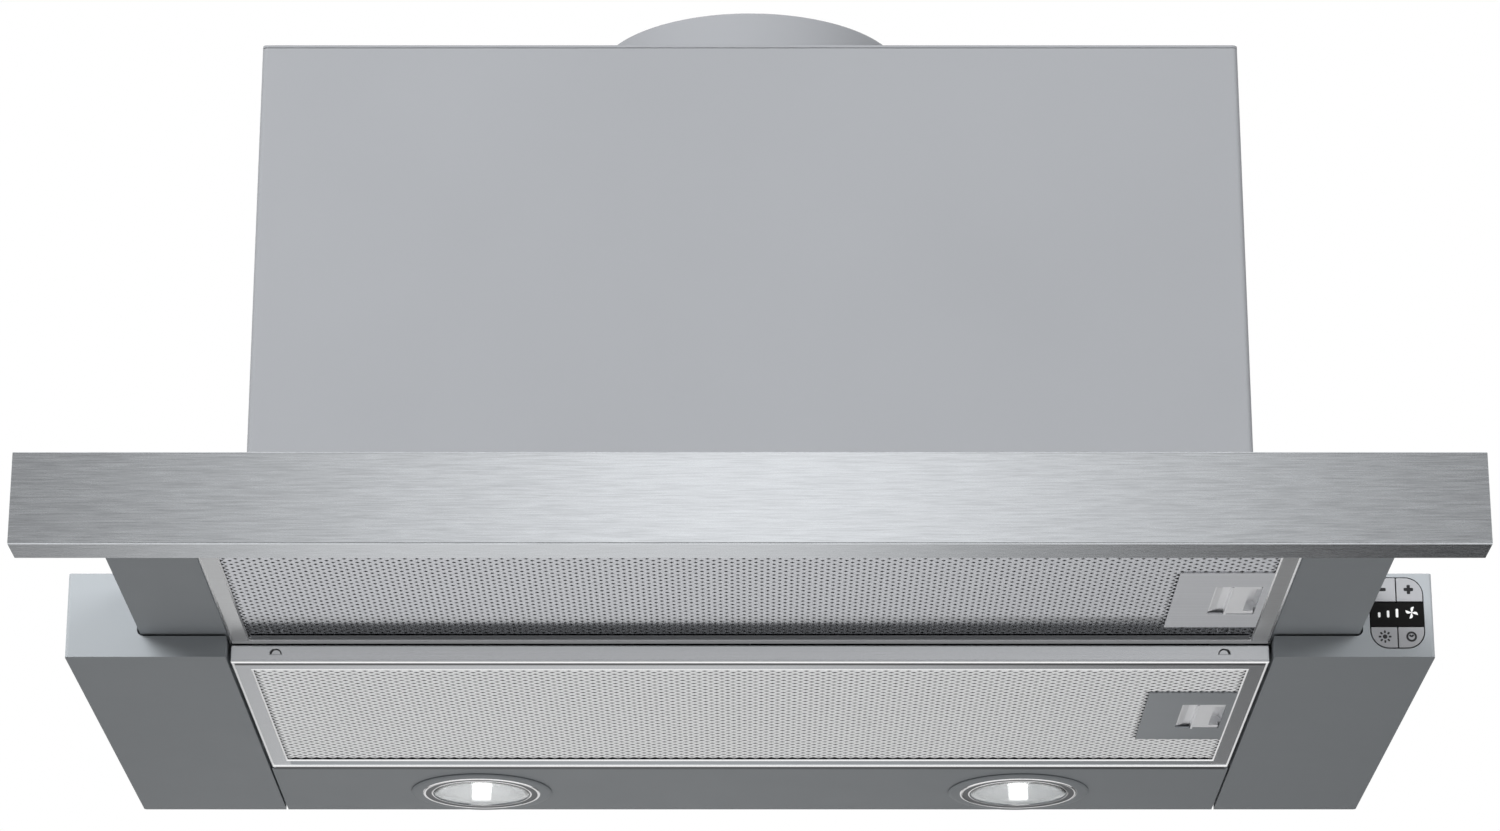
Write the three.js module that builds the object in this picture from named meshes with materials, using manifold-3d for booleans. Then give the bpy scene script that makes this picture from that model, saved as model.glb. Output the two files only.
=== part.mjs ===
// Slim pull-out range hood of the 60 cm class, drawn with its visor pulled out.
// Millimetres. X points right, Y to the wall and Z up. The origin is the middle of the back sheet, level
// with the top of the wings, where the hood lies against the underside of the wall cabinet.
import * as THREE from 'three';
import { mergeVertices } from 'three/addons/utils/BufferGeometryUtils.js';
import Module from 'manifold-3d';

const wasm = await Module();
wasm.setup();

// ---------- Driving dimensions ----------

const SHEET = 1.2;                // folded steel sheet
const SEAT = 0.3;                 // between two seated pieces

const HOOD_WIDTH = 598;
const HOUSING_DEPTH = 270.5;      // wing front to wall
const WING_HEIGHT = 38;
const WING_WIDTH = 70.1;          // wing cover, from its inner edge to its outer side
const SEAM = 0.5;                 // each side of the wing seams
const UPSTAND_HEIGHT = 9;         // inner edge of a wing cover
const EDGE_RADIUS = 1.5;          // folded corners of the covers

const VISOR_TRAVEL = 138.5;
const CLOSED_GAP = 0.7;           // panel back to wing front when the visor is shut
const PANEL_THICKNESS = 19;
const PANEL_HEIGHT = 39.2;
const PANEL_RISE = 1.5;           // panel underside above the wing underside
const PANEL_EDGE_RADIUS = 0.8;
const BACKING_THICKNESS = 3;
const BACKING_RIB = 1.6;
const BACKING_RIB_COUNT = 11;

const ARM_WIDTH = 38;
const ARM_HEIGHT = 23.5;
const ARM_LENGTH = 250;
const ARM_STEP = 2;               // arm underside above the front filter's underside
const ARM_SIDE_GAP = 1;           // filter edge to arm
const SLOT_CLEARANCE = 1.5;       // arm to the slot's outer edge
const SLOT_DROP = 1;              // slot's lower edge below the arm
const SLOT_RADIUS = 3;
const SLOT_TOP_STRIP = 2.5;

const FILTER_SIDE_GAP = 0.4;      // filter edge to the bay's side
const FILTER_HEIGHT = 7.6;
const FILTER_SHEET = 0.8;
const SIDE_BAR = 8;
const REAR_FILTER_DEPTH = 183.2;
const REAR_FILTER_SETBACK = 7.4;  // behind the wing fronts
const REAR_FILTER_FRONT_BAR = 12.6;
const REAR_FILTER_BACK_BAR = 14.5;
const FRONT_FILTER_FRONT_BAR = 12.6;
const FRONT_FILTER_BACK_BAR = 3;
const FRONT_FILTER_GAP = 0.9;     // above the rear filter
const FILTER_PASS_GAP = 0.4;      // between the filters' edges as they swing past each other
const TAB_REACH = 5;
const TAB_WIDTH = 14;
const TAB_SHEET = 1;
const TAB_INSET = 30;             // tab centre to the filter's front or back edge
const DIMPLE_RADIUS = 2.6;
const DIMPLE_INSET = 19.7;        // dimple centre to the filter's side
const DIMPLE_LEVEL = 3.3;

const LATCH_LENGTH = 79;
const LATCH_REACH = 40.1;         // from the right bar into the mesh
const LATCH_TRAVEL = 6;
const LATCH_WINDOW = [20, 40];
const LATCH_BLOCK = [30, 39];
const LATCH_FLANGE = 4.5;
const LATCH_LEVEL = 0.2;          // plate above the filter's underside
const GUIDE_LEVEL = [2.9, 3.7];   // of the lips that hold the slider
const PLATE_WALL_TOP = 6.2;
const FINGER_SLOT = { width: 4.6, length: 32, roof: 5.2, flare: 1.8 };
const GRIP_RIB = { width: 1, drop: 0.5 };                // below the plate
const GRIP_SCOOP = 1.9;           // depth beside the rib
const BOLT = { width: 10, height: 1.6, reach: 5, rise: 1.4 };   // rise over the arm's floor
const SPRING_WIRE = 0.6;
const SPRING_RADIUS = 1.7;
const SPRING_TURNS = 5;
const REAR_LATCH_CENTRE = 91.4;   // from the filter's front edge
const FRONT_LATCH_CENTRE = 82;

const LAMP_INSET = 97.5;          // lamp centre to the bay's side
const LAMP_SETBACK = 36;          // lamp centre to wall
const LAMP_FLANGE_RADIUS = 34;
const LAMP_RING_RADIUS = 28;
const LENS_RADIUS = 23.9;
const LAMP_TUBE_HEIGHT = 12;
const LAMP_PANEL_FLANGE = 11;
const REFLECTOR_NECK = 5.2;
const REFLECTOR_HEIGHT = 21.5;
const REFLECTOR_SHOULDER = 15;    // where the bowl turns in to the neck
const REFLECTOR_WALL = 1.2;
const BULB = { width: 8.8, thickness: 5.2, radius: 1.6, bottom: 4, top: 20.4, socket: 28 };

const CONTROL = { width: 24, height: 32.6, radius: 8, setIn: 15.9, level: 20 };
const BUTTON_GAP = 0.6;
const BUTTON_TRAVEL = 0.8;
const BUTTON_DEPTH = 3;
const DISPLAY_TOP = 4.9;          // above the control's centre
const DISPLAY_BOTTOM = -6.3;
const BOARD_SETBACK = 6;
const BOARD_THICKNESS = 1.6;
const SWITCH = { width: 4.4, height: 1.6 };
const STEM_RADIUS = 1.6;
const CARRIER_DEPTH = 10;
const CARRIER_WALL = 1.6;
const CARRIER_WINDOW = [10, 8];   // for the board's plug

const CASING_STEP_IN = 2.5;       // casing side to the filter's side
const CASING_SETBACK = 13.7;      // casing front behind the wing fronts
const CASING_HEIGHT = 259.4;
const CASING_RADIUS = 2.5;
const CASING_FLANGE = 12;
const LID_SKIRT = 10;

const COLLAR_RADIUS = 75;
const COLLAR_WALL = 2;
const COLLAR_TOP = 299;
const COLLAR_SETBACK = 130.7;     // collar centre to wall
const COLLAR_FLANGE_RADIUS = 88;
const FLAP_LEVEL = 21;            // flap hinge above the casing lid
const FLAP_SHEET = 1.5;
const FLAP_PIN_RADIUS = 1.5;
const KNUCKLE_RADIUS = 3;
const KNUCKLE_CLEARANCE = 0.3;
const KNUCKLE_LENGTH = 14;
const FRONT_KNUCKLES = 42;        // from the collar's axis
const REAR_KNUCKLES = 20;
const FLAP_ROOT = 3.4;            // flap's straight edge from the hinge

const GLAND_SETBACK = 32;
const GLAND_INSET = 48;           // from the casing's right side
const GLAND_HOLE = 8.3;
const GLAND_BORE = 3.5;
const GLAND = { flange: 13, nut: 11, neck: 7, tail: 8, height: 20 };
const TERMINAL_BOX = { height: 56, depth: 44, left: 34, right: 30, cover: 18, drop: 16 };

const FAN_LEVEL = 92;
const FAN_SETBACK = 162;          // fan axis to wall
const IMPELLER_RADIUS = 65;
const IMPELLER_INNER_RADIUS = 54;
const IMPELLER_WIDTH = 96;
const IMPELLER_BAND = 3;
const HUB_LENGTH = 14;
const BLADE_COUNT = 24;
const BLADE_SHEET = 1.2;
const FAN_HOUSING_WALL = 2;
const FAN_TIP_GAP = 6;            // impeller to scroll at the tongue
const SCROLL_GROWTH = 25;
const FAN_SIDE_GAP = 4;
const INLET_RADIUS = 52;
const OUTLET_LEVEL = 200;
const MOTOR_RADIUS = 37;
const MOTOR_LENGTH = 78;
const MOTOR_SHOULDER = [6, 14];   // chamfer across and along
const MOTOR_END_BOSS = [14, 6];   // radius and length
const MOTOR_NOSE = 12;
const SHAFT_RADIUS = 4;
const MOTOR_INSET = 40;           // from the impeller's left rim to the motor's face
const BEARING_DEPTH = 8;

const RAIL = { sheet: 1.4, height: 20, depth: 9, span: 11, ballGap: 0.4, webGap: 0.8 };
const RAIL_LIFT = 0.8;            // outer rail above the arm's floor
const OUTER_RAIL_SETBACK = 6;     // to the back sheet
const MIDDLE_RAIL_SETBACK = 42;   // with the visor pushed in
const INNER_RAIL_SETBACK = 5;     // to the arm's end
const BRACKET_FOOT = 14;
const OUTER_RAIL_LENGTH = 252;
const MIDDLE_RAIL_LENGTH = 200;
const INNER_RAIL_LENGTH = 220;

const TRAY_DROP = 1.5;            // visor's closed top below the deck
const TRAY_OVERHANG = 12;         // behind the front filter
const REAR_BAR = { depth: 11, height: 7, lip: 4 };

// ---------- Levels and edges that several pieces share ----------

const frontY = -HOUSING_DEPTH;
const floorZ = -WING_HEIGHT;
const wingOuter = HOOD_WIDTH / 2;
const wingInner = wingOuter - WING_WIDTH;
const bayHalf = wingInner - 2 * SEAM;
const filterHalf = bayHalf - FILTER_SIDE_GAP;
const deckBottom = -SHEET;

const panelBackY = frontY - VISOR_TRAVEL - CLOSED_GAP;
const panelBottom = floorZ + PANEL_RISE;
const armInner = filterHalf + ARM_SIDE_GAP;
const armOuter = armInner + ARM_WIDTH;
const armFrontY = panelBackY + SEAT;
const armBackY = armFrontY + ARM_LENGTH;
const slotOuter = armOuter + SLOT_CLEARANCE;

const rearFilterY = frontY + REAR_FILTER_SETBACK;
const rearFilterBackY = rearFilterY + REAR_FILTER_DEPTH;
const frontFilterZ = floorZ + FILTER_HEIGHT + FRONT_FILTER_GAP;
const armBottom = frontFilterZ + ARM_STEP;
const armTop = armBottom + ARM_HEIGHT;
const tabLift = ARM_STEP + SHEET + SEAT;                 // hinge tab above the filter's underside
const boltLift = ARM_STEP + SHEET + BOLT.rise;           // bolt above the filter's underside
const visorLinerY = armFrontY + SHEET;
const frontFilterY = visorLinerY + SEAT;
const frontFilterDepth = rearFilterY - FILTER_PASS_GAP - frontFilterY;

const casingHalf = filterHalf - CASING_STEP_IN;
const lampX = bayHalf - LAMP_INSET;
const casingFrontY = frontY + CASING_SETBACK;
const lidBottom = CASING_HEIGHT - SHEET;

// ---------- Solids ----------

// A closed three.js geometry as a solid. Triangles that have shrunk to a line are left out.
function toSolid(geometry) {
  const bare = geometry.clone();
  bare.deleteAttribute('normal');
  bare.deleteAttribute('uv');
  const merged = mergeVertices(bare, 1e-4);
  const corners = merged.index.array;
  const kept = [];
  for (let i = 0; i < corners.length; i += 3) {
    const [a, b, c] = corners.slice(i, i + 3);
    if (a !== b && b !== c && c !== a) kept.push(a, b, c);
  }
  return new wasm.Manifold(new wasm.Mesh({
    numProp: 3,
    vertProperties: merged.attributes.position.array,
    triVerts: Uint32Array.from(kept),
  }));
}

function toGeometry(solid) {
  const mesh = solid.getMesh();
  const geometry = new THREE.BufferGeometry();
  geometry.setAttribute('position', new THREE.BufferAttribute(mesh.vertProperties, 3));
  geometry.setIndex(new THREE.BufferAttribute(mesh.triVerts, 1));
  return geometry;
}

function join(...geometries) {
  return toGeometry(geometries.map(toSolid).reduce((whole, piece) => whole.add(piece)));
}

function cut(body, ...tools) {
  return toGeometry(tools.map(toSolid).reduce((rest, tool) => rest.subtract(tool), toSolid(body)));
}

function common(one, other) {
  return toGeometry(toSolid(one).intersect(toSolid(other)));
}

function block([x0, x1], [y0, y1], [z0, z1]) {
  return new THREE.BoxGeometry(x1 - x0, y1 - y0, z1 - z0)
    .translate((x0 + x1) / 2, (y0 + y1) / 2, (z0 + z1) / 2);
}

const flat = { bevelEnabled: false, curveSegments: 5 };

// Prisms of an outline drawn in XY, in YZ and in XZ.
function prismZ(outline, [z0, z1], options = flat) {
  return new THREE.ExtrudeGeometry(outline, { ...options, depth: z1 - z0 }).translate(0, 0, z0);
}

function prismX(outline, [x0, x1], options = flat) {
  const turn = new THREE.Matrix4().makeBasis(
    new THREE.Vector3(0, 1, 0), new THREE.Vector3(0, 0, 1), new THREE.Vector3(1, 0, 0));
  return new THREE.ExtrudeGeometry(outline, { ...options, depth: x1 - x0 })
    .applyMatrix4(turn).translate(x0, 0, 0);
}

function prismY(outline, [y0, y1], options = flat) {
  const turn = new THREE.Matrix4().makeBasis(
    new THREE.Vector3(1, 0, 0), new THREE.Vector3(0, 0, 1), new THREE.Vector3(0, -1, 0));
  return new THREE.ExtrudeGeometry(outline, { ...options, depth: y1 - y0 })
    .applyMatrix4(turn).translate(0, y1, 0);
}

function polygon(points) {
  return new THREE.Shape(points.map(([u, v]) => new THREE.Vector2(u, v)));
}

function roundedRect([u0, u1], [v0, v1], radius) {
  const [bl, br, tr, tl] = Array.isArray(radius) ? radius : [radius, radius, radius, radius];
  const shape = new THREE.Shape();
  shape.moveTo(u0 + bl, v0);
  shape.lineTo(u1 - br, v0);
  if (br) shape.absarc(u1 - br, v0 + br, br, -Math.PI / 2, 0, false);
  shape.lineTo(u1, v1 - tr);
  if (tr) shape.absarc(u1 - tr, v1 - tr, tr, 0, Math.PI / 2, false);
  shape.lineTo(u0 + tl, v1);
  if (tl) shape.absarc(u0 + tl, v1 - tl, tl, Math.PI / 2, Math.PI, false);
  shape.lineTo(u0, v0 + bl);
  if (bl) shape.absarc(u0 + bl, v0 + bl, bl, Math.PI, 1.5 * Math.PI, false);
  return shape;
}

// A profile of [radius, height] points turned about Z, drawn anticlockwise.
function turned(profile, steps = 48) {
  const points = [...profile, profile[0]].map(([r, z]) => new THREE.Vector2(r, z));
  return new THREE.LatheGeometry(points, steps).rotateX(Math.PI / 2);
}

function rod(radius, [z0, z1], steps = 32) {
  return new THREE.CylinderGeometry(radius, radius, z1 - z0, steps)
    .rotateX(Math.PI / 2).translate(0, 0, (z0 + z1) / 2);
}

const alongX = (geometry) => geometry.rotateY(Math.PI / 2);
const alongY = (geometry) => geometry.rotateX(-Math.PI / 2);

// Closed rings of points, each joined to the next and the last to the first.
function ringLoft(rings) {
  const count = rings[0].length;
  const corners = [];
  rings.forEach((ring, i) => {
    const next = (i + 1) % rings.length;
    for (let j = 0; j < count; j += 1) {
      const k = (j + 1) % count;
      const [a, b] = [i * count + j, i * count + k];
      const [c, d] = [next * count + k, next * count + j];
      corners.push(a, b, c, a, c, d);
    }
  });
  const geometry = new THREE.BufferGeometry();
  geometry.setAttribute('position', new THREE.Float32BufferAttribute(rings.flat(2), 3));
  geometry.setIndex(corners);
  return geometry;
}

// ---------- Finishes ----------

const finish = (color, roughness, metalness) => ({ color, roughness, metalness });
const BRUSHED_STEEL = finish(0xb9bdc1, 0.35, 0.9);
const GREY_COAT = finish(0x71797d, 0.55, 0.2);
const CASING_GREY = finish(0xb3b4b8, 0.6, 0.2);
const ALUMINIUM = finish(0xc4c6c9, 0.4, 0.8);
const ZINC = finish(0xa3a6a8, 0.45, 0.8);
const DARK_PLASTIC = finish(0x2b2d2f, 0.6, 0);
const GREY_PLASTIC = finish(0xa9acb2, 0.5, 0);
const BLACK_GLOSS = finish(0x141414, 0.15, 0);
const LAMP_GLASS = finish(0xf2f4f4, 0.1, 0);
const REFLECTOR = finish(0xe6e8ea, 0.12, 1);
const WARM_WHITE = finish(0xffffff, 0.3, 0);
const BOARD_GREEN = finish(0x2f5b3c, 0.6, 0);
const SPRING_STEEL = finish(0x8d9092, 0.3, 0.9);

function part(name, geometry, look) {
  const mesh = new THREE.Mesh(geometry, new THREE.MeshStandardMaterial(look));
  mesh.name = name;
  return mesh;
}

// The same piece for the other side of the hood.
function mirrored(mesh) {
  mesh.scale.x = -1;
  return mesh;
}

function group(...children) {
  const holder = new THREE.Group();
  holder.add(...children);
  return holder;
}

// ---------- Housing: wings, deck, back ----------

function slotOutline() {
  const z0 = armBottom - SLOT_DROP;
  return roundedRect([wingInner - 1, slotOuter], [z0, -SLOT_TOP_STRIP], [0, SLOT_RADIUS, 0, 0]);
}

function controlOutline(clearance) {
  const u = CONTROL.width / 2 - clearance;
  const v = CONTROL.height / 2 - clearance;
  return roundedRect([-u, u], [-v, v], CONTROL.radius - clearance);
}

const controlX = wingOuter - CONTROL.setIn;
const controlZ = floorZ + CONTROL.level;

// The wing's inner edge has windows for the rear filter's hinge tabs or its bolt.
function wingCover({ tabs = [], boltAt = null, controls = false }) {
  const bottom = [floorZ, floorZ + SHEET];
  const inside = [frontY + SHEET, -SHEET];
  const plan = roundedRect([wingInner, wingOuter], [frontY, 0], [0, EDGE_RADIUS, EDGE_RADIUS, 0]);
  const shell = cut(
    prismZ(plan, [floorZ, 0]),
    block([wingInner + SHEET, wingOuter - SHEET], inside, [bottom[1], 1]),
    block([wingInner - 1, wingInner + SHEET + SEAT], inside, [floorZ + UPSTAND_HEIGHT, 1]),
    prismY(slotOutline(), [frontY - 1, frontY + SHEET + 1]),
  );
  const openings = tabs.map((y) => tabWindow(y, wingInner, floorZ));
  if (boltAt !== null) openings.push(boltWindow(boltAt, wingInner, floorZ));
  if (controls) {
    openings.push(prismY(controlOutline(0), [frontY - 1, frontY + SHEET + 1])
      .translate(controlX, 0, controlZ));
  }
  return openings.length ? cut(shell, ...openings) : shell;
}

// A window through a wall at x = wall, for a hinge tab of a filter whose underside is at z.
function tabWindow(y, wall, z) {
  const side = TAB_WIDTH / 2 + 1;
  const sill = z + tabLift - SEAT;
  return block([wall - 1, wall + SHEET + 1], [y - side, y + side], [sill, sill + 8]);
}

// A window for the bolt, whose lower edge holds the filter up.
function boltWindow(y, wall, z) {
  const side = BOLT.width / 2 + 1;
  const sill = z + boltLift - SEAT;
  return block([wall - 1, wall + SHEET + 1], [y - side, y + side], [sill, sill + BOLT.height + 2 * SEAT]);
}

function deck() {
  const half = wingOuter - SHEET - SEAT;
  const open = casingHalf - SHEET - CASING_FLANGE;
  const back = -SHEET - SEAT;
  return cut(
    block([-half, half], [frontY + SHEET + SEAT, back], [deckBottom, 0]),
    block([-open, open], [casingFrontY + SHEET + CASING_FLANGE, back - CASING_FLANGE], [deckBottom - 1, 1]),
  );
}

function backSheet() {
  const top = lidBottom - SEAT;
  const outline = polygon([
    [-bayHalf, floorZ + SHEET + SEAT], [bayHalf, floorZ + SHEET + SEAT], [bayHalf, 0], [casingHalf, 0],
    [casingHalf, top], [-casingHalf, top], [-casingHalf, 0], [-bayHalf, 0],
  ]);
  return prismY(outline, [-SHEET, 0]);
}

// A channel that carries the lamps, with a turned-up edge at the front and at the back.
function lampPanel() {
  const front = rearFilterBackY + SEAT;
  const bottom = [floorZ, floorZ + SHEET];
  const edge = [floorZ, floorZ + LAMP_PANEL_FLANGE];
  const back = -SHEET - SEAT;
  const across = [-bayHalf, bayHalf];
  const hole = LAMP_RING_RADIUS + 2 * SEAT + 0.1;
  return cut(
    join(
      block(across, [front, 0], bottom),
      block(across, [front, front + SHEET], edge),
      block(across, [back - SHEET, back], edge),
    ),
    ...[-lampX, lampX].map((x) => rod(hole, [-1, 3]).translate(x, -LAMP_SETBACK, floorZ)),
  );
}

// ---------- Casing ----------

function casingBody() {
  const across = [-casingHalf, casingHalf];
  const deep = [casingFrontY, -SHEET - SEAT];
  const outline = roundedRect(across, deep, [CASING_RADIUS, CASING_RADIUS, 0, 0]);
  const inner = casingHalf - SHEET;
  const lip = inner - CASING_FLANGE;
  const rise = [SEAT, lidBottom - SEAT];
  const frontIn = deep[0] + SHEET;
  return cut(
    prismZ(outline, rise),
    // the hollow above the foot flange, open to the lid
    block([-inner, inner], [frontIn, deep[1] - SHEET], [rise[0] + SHEET, rise[1] + 1]),
    block([-lip, lip], [frontIn, deep[1] + 1], [rise[0] + SHEET, rise[1] + 1]),
    block([-lip, lip], [frontIn + CASING_FLANGE, deep[1] + 1], [rise[0] - 1, rise[0] + SHEET + 1]),
  );
}

function casingLid() {
  const inner = casingHalf - SHEET - SEAT;
  const front = casingFrontY + SHEET + SEAT;
  const back = -2 * SHEET - 2 * SEAT;
  const skirt = lidBottom - LID_SKIRT;
  const plan = roundedRect(
    [-casingHalf, casingHalf], [casingFrontY, 0], [CASING_RADIUS, CASING_RADIUS, 0, 0]);
  const plate = prismZ(plan, [lidBottom, CASING_HEIGHT]);
  const rim = cut(
    block([-inner, inner], [front, back], [skirt, lidBottom]),
    block([-inner + SHEET, inner - SHEET], [front + SHEET, back - SHEET], [skirt - 1, lidBottom + 1]),
  );
  return cut(
    join(plate, rim),
    rod(collarInner, [lidBottom - 1, CASING_HEIGHT + 1], 40).translate(0, -COLLAR_SETBACK, 0),
    rod(GLAND_HOLE, [lidBottom - 1, CASING_HEIGHT + 1]).translate(glandX, -GLAND_SETBACK, 0),
  );
}

// ---------- Collar and its backdraft flaps, drawn about the collar's axis ----------

const collarInner = COLLAR_RADIUS - COLLAR_WALL;
const flapZ = CASING_HEIGHT + FLAP_LEVEL;
const flapRadius = collarInner - SEAT;

function exhaustCollar() {
  const seatZ = CASING_HEIGHT + SEAT;
  const ledgeTop = flapZ - FLAP_SHEET / 2 - SEAT;
  const groove = FLAP_PIN_RADIUS + SEAT;
  const ring = turned([
    [collarInner, seatZ], [COLLAR_FLANGE_RADIUS, seatZ], [COLLAR_FLANGE_RADIUS, seatZ + 1.5],
    [COLLAR_RADIUS, seatZ + 1.5], [COLLAR_RADIUS, COLLAR_TOP - 1], [COLLAR_RADIUS - 0.6, COLLAR_TOP],
    [collarInner, COLLAR_TOP], [collarInner, ledgeTop], [collarInner - 3.5, ledgeTop],
    [collarInner - 3.5, ledgeTop - 1.5], [collarInner, ledgeTop - 5],
  ], 40);
  // the pin lies in a groove across the flaps' ledge
  const reach = flapRadius + 0.1;
  return cut(ring, block([-reach, reach], [-groove, groove], [flapZ - groove, flapZ + 1]));
}

function flapPin() {
  return alongX(rod(FLAP_PIN_RADIUS, [-flapRadius, flapRadius], 12)).translate(0, 0, flapZ);
}

// Half a disc with two knuckles on the pin, drawn for the back half.
function flap(place) {
  const knuckles = [-place, place];
  const half = new THREE.Shape();
  const from = Math.asin(FLAP_ROOT / flapRadius);
  half.absarc(0, 0, flapRadius, from, Math.PI - from, false);
  const thick = [-FLAP_SHEET / 2, FLAP_SHEET / 2];
  const plate = prismZ(half, thick, { bevelEnabled: false, curveSegments: 18 });
  const reach = KNUCKLE_LENGTH / 2;
  const sleeves = knuckles.map((x) => alongX(rod(KNUCKLE_RADIUS, [-reach, reach], 12)).translate(x, 0, 0));
  const webs = knuckles.map((x) => block([x - reach, x + reach], [0, FLAP_ROOT + 1], thick));
  const bore = alongX(rod(FLAP_PIN_RADIUS + KNUCKLE_CLEARANCE, [-flapRadius, flapRadius], 12));
  return cut(join(plate, ...sleeves, ...webs), bore).translate(0, 0, flapZ);
}

// ---------- Blower, drawn about the fan's axis ----------

const scrollStart = THREE.MathUtils.degToRad(70);
const scrollInner = IMPELLER_RADIUS + FAN_TIP_GAP;
const scrollOuter = scrollInner + SCROLL_GROWTH;
const fanHalf = IMPELLER_WIDTH / 2 + FAN_SIDE_GAP;
const outletTop = OUTLET_LEVEL - FAN_LEVEL;
const tongueY = scrollInner * Math.cos(scrollStart);

// The scroll's spiral with its outlet duct, grown outwards by a wall. It opens upwards at the back.
function scrollOutline(wall, top) {
  const steps = 24;
  const front = tongueY - wall;
  const begin = Math.acos(front / (scrollInner + wall));
  const points = [[front, top]];
  for (let i = 0; i <= steps; i += 1) {
    const angle = begin + ((2 * Math.PI - begin) * i) / steps;
    const grown = (SCROLL_GROWTH * (angle - scrollStart)) / (2 * Math.PI - scrollStart);
    const radius = scrollInner + wall + Math.max(grown, 0);
    points.push([radius * Math.cos(angle), radius * Math.sin(angle)]);
  }
  points.push([scrollOuter + wall, top]);
  return polygon(points);
}

// One moulded half, with the rounded inlet that leads the air into the impeller.
function fanHousingHalf() {
  const split = SEAT / 2;
  const side = fanHalf + FAN_HOUSING_WALL;
  const mouth = turned([
    [INLET_RADIUS, 0], [INLET_RADIUS + 2, -FAN_HOUSING_WALL], [INLET_RADIUS + 9, -FAN_HOUSING_WALL],
    [INLET_RADIUS + 9, 0], [INLET_RADIUS + 6, 4], [INLET_RADIUS + 3, 5], [INLET_RADIUS + 0.8, 3.5],
  ], 28);
  return join(
    cut(
      prismX(scrollOutline(FAN_HOUSING_WALL, outletTop), [split, side]),
      prismX(scrollOutline(0, outletTop + 1), [-1, fanHalf]),
      alongX(rod(INLET_RADIUS + 4, [fanHalf - 1, side + 1], 28)),
    ),
    alongX(mouth).translate(side, 0, 0),
  );
}

// Forward-curved blade, as an arc between the inner and the outer radius.
function bladeOutline() {
  const steps = 2;
  const line = [];
  for (let i = 0; i <= steps; i += 1) {
    const t = i / steps;
    const radius = THREE.MathUtils.lerp(IMPELLER_INNER_RADIUS, IMPELLER_RADIUS - 0.5, t);
    const lead = 0.14 * t * t;
    line.push(new THREE.Vector2(radius * Math.cos(lead), radius * Math.sin(lead)));
  }
  const half = BLADE_SHEET / 2;
  const left = line.map((p) => [p.x, p.y + half]);
  const right = line.map((p) => [p.x, p.y - half]).reverse();
  return polygon([...right, ...left]);
}

const cageInner = IMPELLER_INNER_RADIUS - 0.5;

// Blades between two end bands and a middle band, which holds the hub's disc.
function impellerCage() {
  const half = IMPELLER_WIDTH / 2;
  const blade = prismX(bladeOutline(), [-half + 1, half - 1]);
  const blades = [];
  for (let i = 0; i < BLADE_COUNT; i += 1) {
    blades.push(blade.clone().rotateX((2 * Math.PI * i) / BLADE_COUNT));
  }
  const profile = [
    [cageInner, 0], [IMPELLER_RADIUS, 0], [IMPELLER_RADIUS, IMPELLER_BAND], [cageInner, IMPELLER_BAND]];
  const bands = [-half, -IMPELLER_BAND / 2, half - IMPELLER_BAND]
    .map((x) => alongX(turned(profile, BLADE_COUNT)).translate(x, 0, 0));
  return join(...bands, ...blades);
}

// The disc's shaft is pressed into it and reaches into the motor's bearing.
function impellerHub() {
  const rim = cageInner - SEAT;
  const disc = turned([
    [0, -IMPELLER_BAND / 2], [rim, -IMPELLER_BAND / 2], [rim, IMPELLER_BAND / 2],
    [SHAFT_RADIUS + 7, IMPELLER_BAND / 2], [SHAFT_RADIUS + 6, HUB_LENGTH], [0, HUB_LENGTH],
  ], BLADE_COUNT);
  const shaft = rod(SHAFT_RADIUS, [MOTOR_INSET - IMPELLER_WIDTH / 2 + SEAT, 0], 12);
  return alongX(join(disc, shaft));
}

// The motor sits in the left inlet and reaches into the impeller. Its bearing ring faces the hub.
const motorEnd = -IMPELLER_WIDTH / 2 + MOTOR_INSET;

function fanMotor() {
  const length = MOTOR_LENGTH;
  const bore = SHAFT_RADIUS + SEAT;
  const [across, along] = MOTOR_SHOULDER;
  const body = turned([
    [0, -length], [MOTOR_END_BOSS[0], -length], [MOTOR_END_BOSS[0], -length + MOTOR_END_BOSS[1]],
    [MOTOR_RADIUS - across, -length + across], [MOTOR_RADIUS, -length + along], [MOTOR_RADIUS, -along],
    [MOTOR_RADIUS - across, -across], [MOTOR_NOSE, -across], [MOTOR_NOSE - 1, 0], [bore, 0],
    [bore, -BEARING_DEPTH], [0, -BEARING_DEPTH],
  ], 24);
  return alongX(body).translate(motorEnd, 0, 0);
}

// Three arms hold the motor's belt against the left housing half.
function motorBracket() {
  const face = -fanHalf - FAN_HOUSING_WALL - 5 - SEAT;
  const depth = 12;
  const inner = MOTOR_RADIUS + SEAT;
  const outer = INLET_RADIUS + 12;
  const belt = turned([[inner, 0], [inner + 2.5, 0], [inner + 2.5, depth], [inner, depth]], 24);
  const foot = turned([
    [INLET_RADIUS + 2.5, depth - 2.5], [outer, depth - 2.5], [outer, depth], [INLET_RADIUS + 2.5, depth],
  ], 28);
  const arms = [90, 210, 330].map((angle) => block([inner + 1, outer - 2], [-5, 5], [depth - 4, depth])
    .rotateZ(THREE.MathUtils.degToRad(angle)));
  return alongX(join(belt, foot, ...arms)).translate(face - depth, 0, 0);
}

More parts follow.
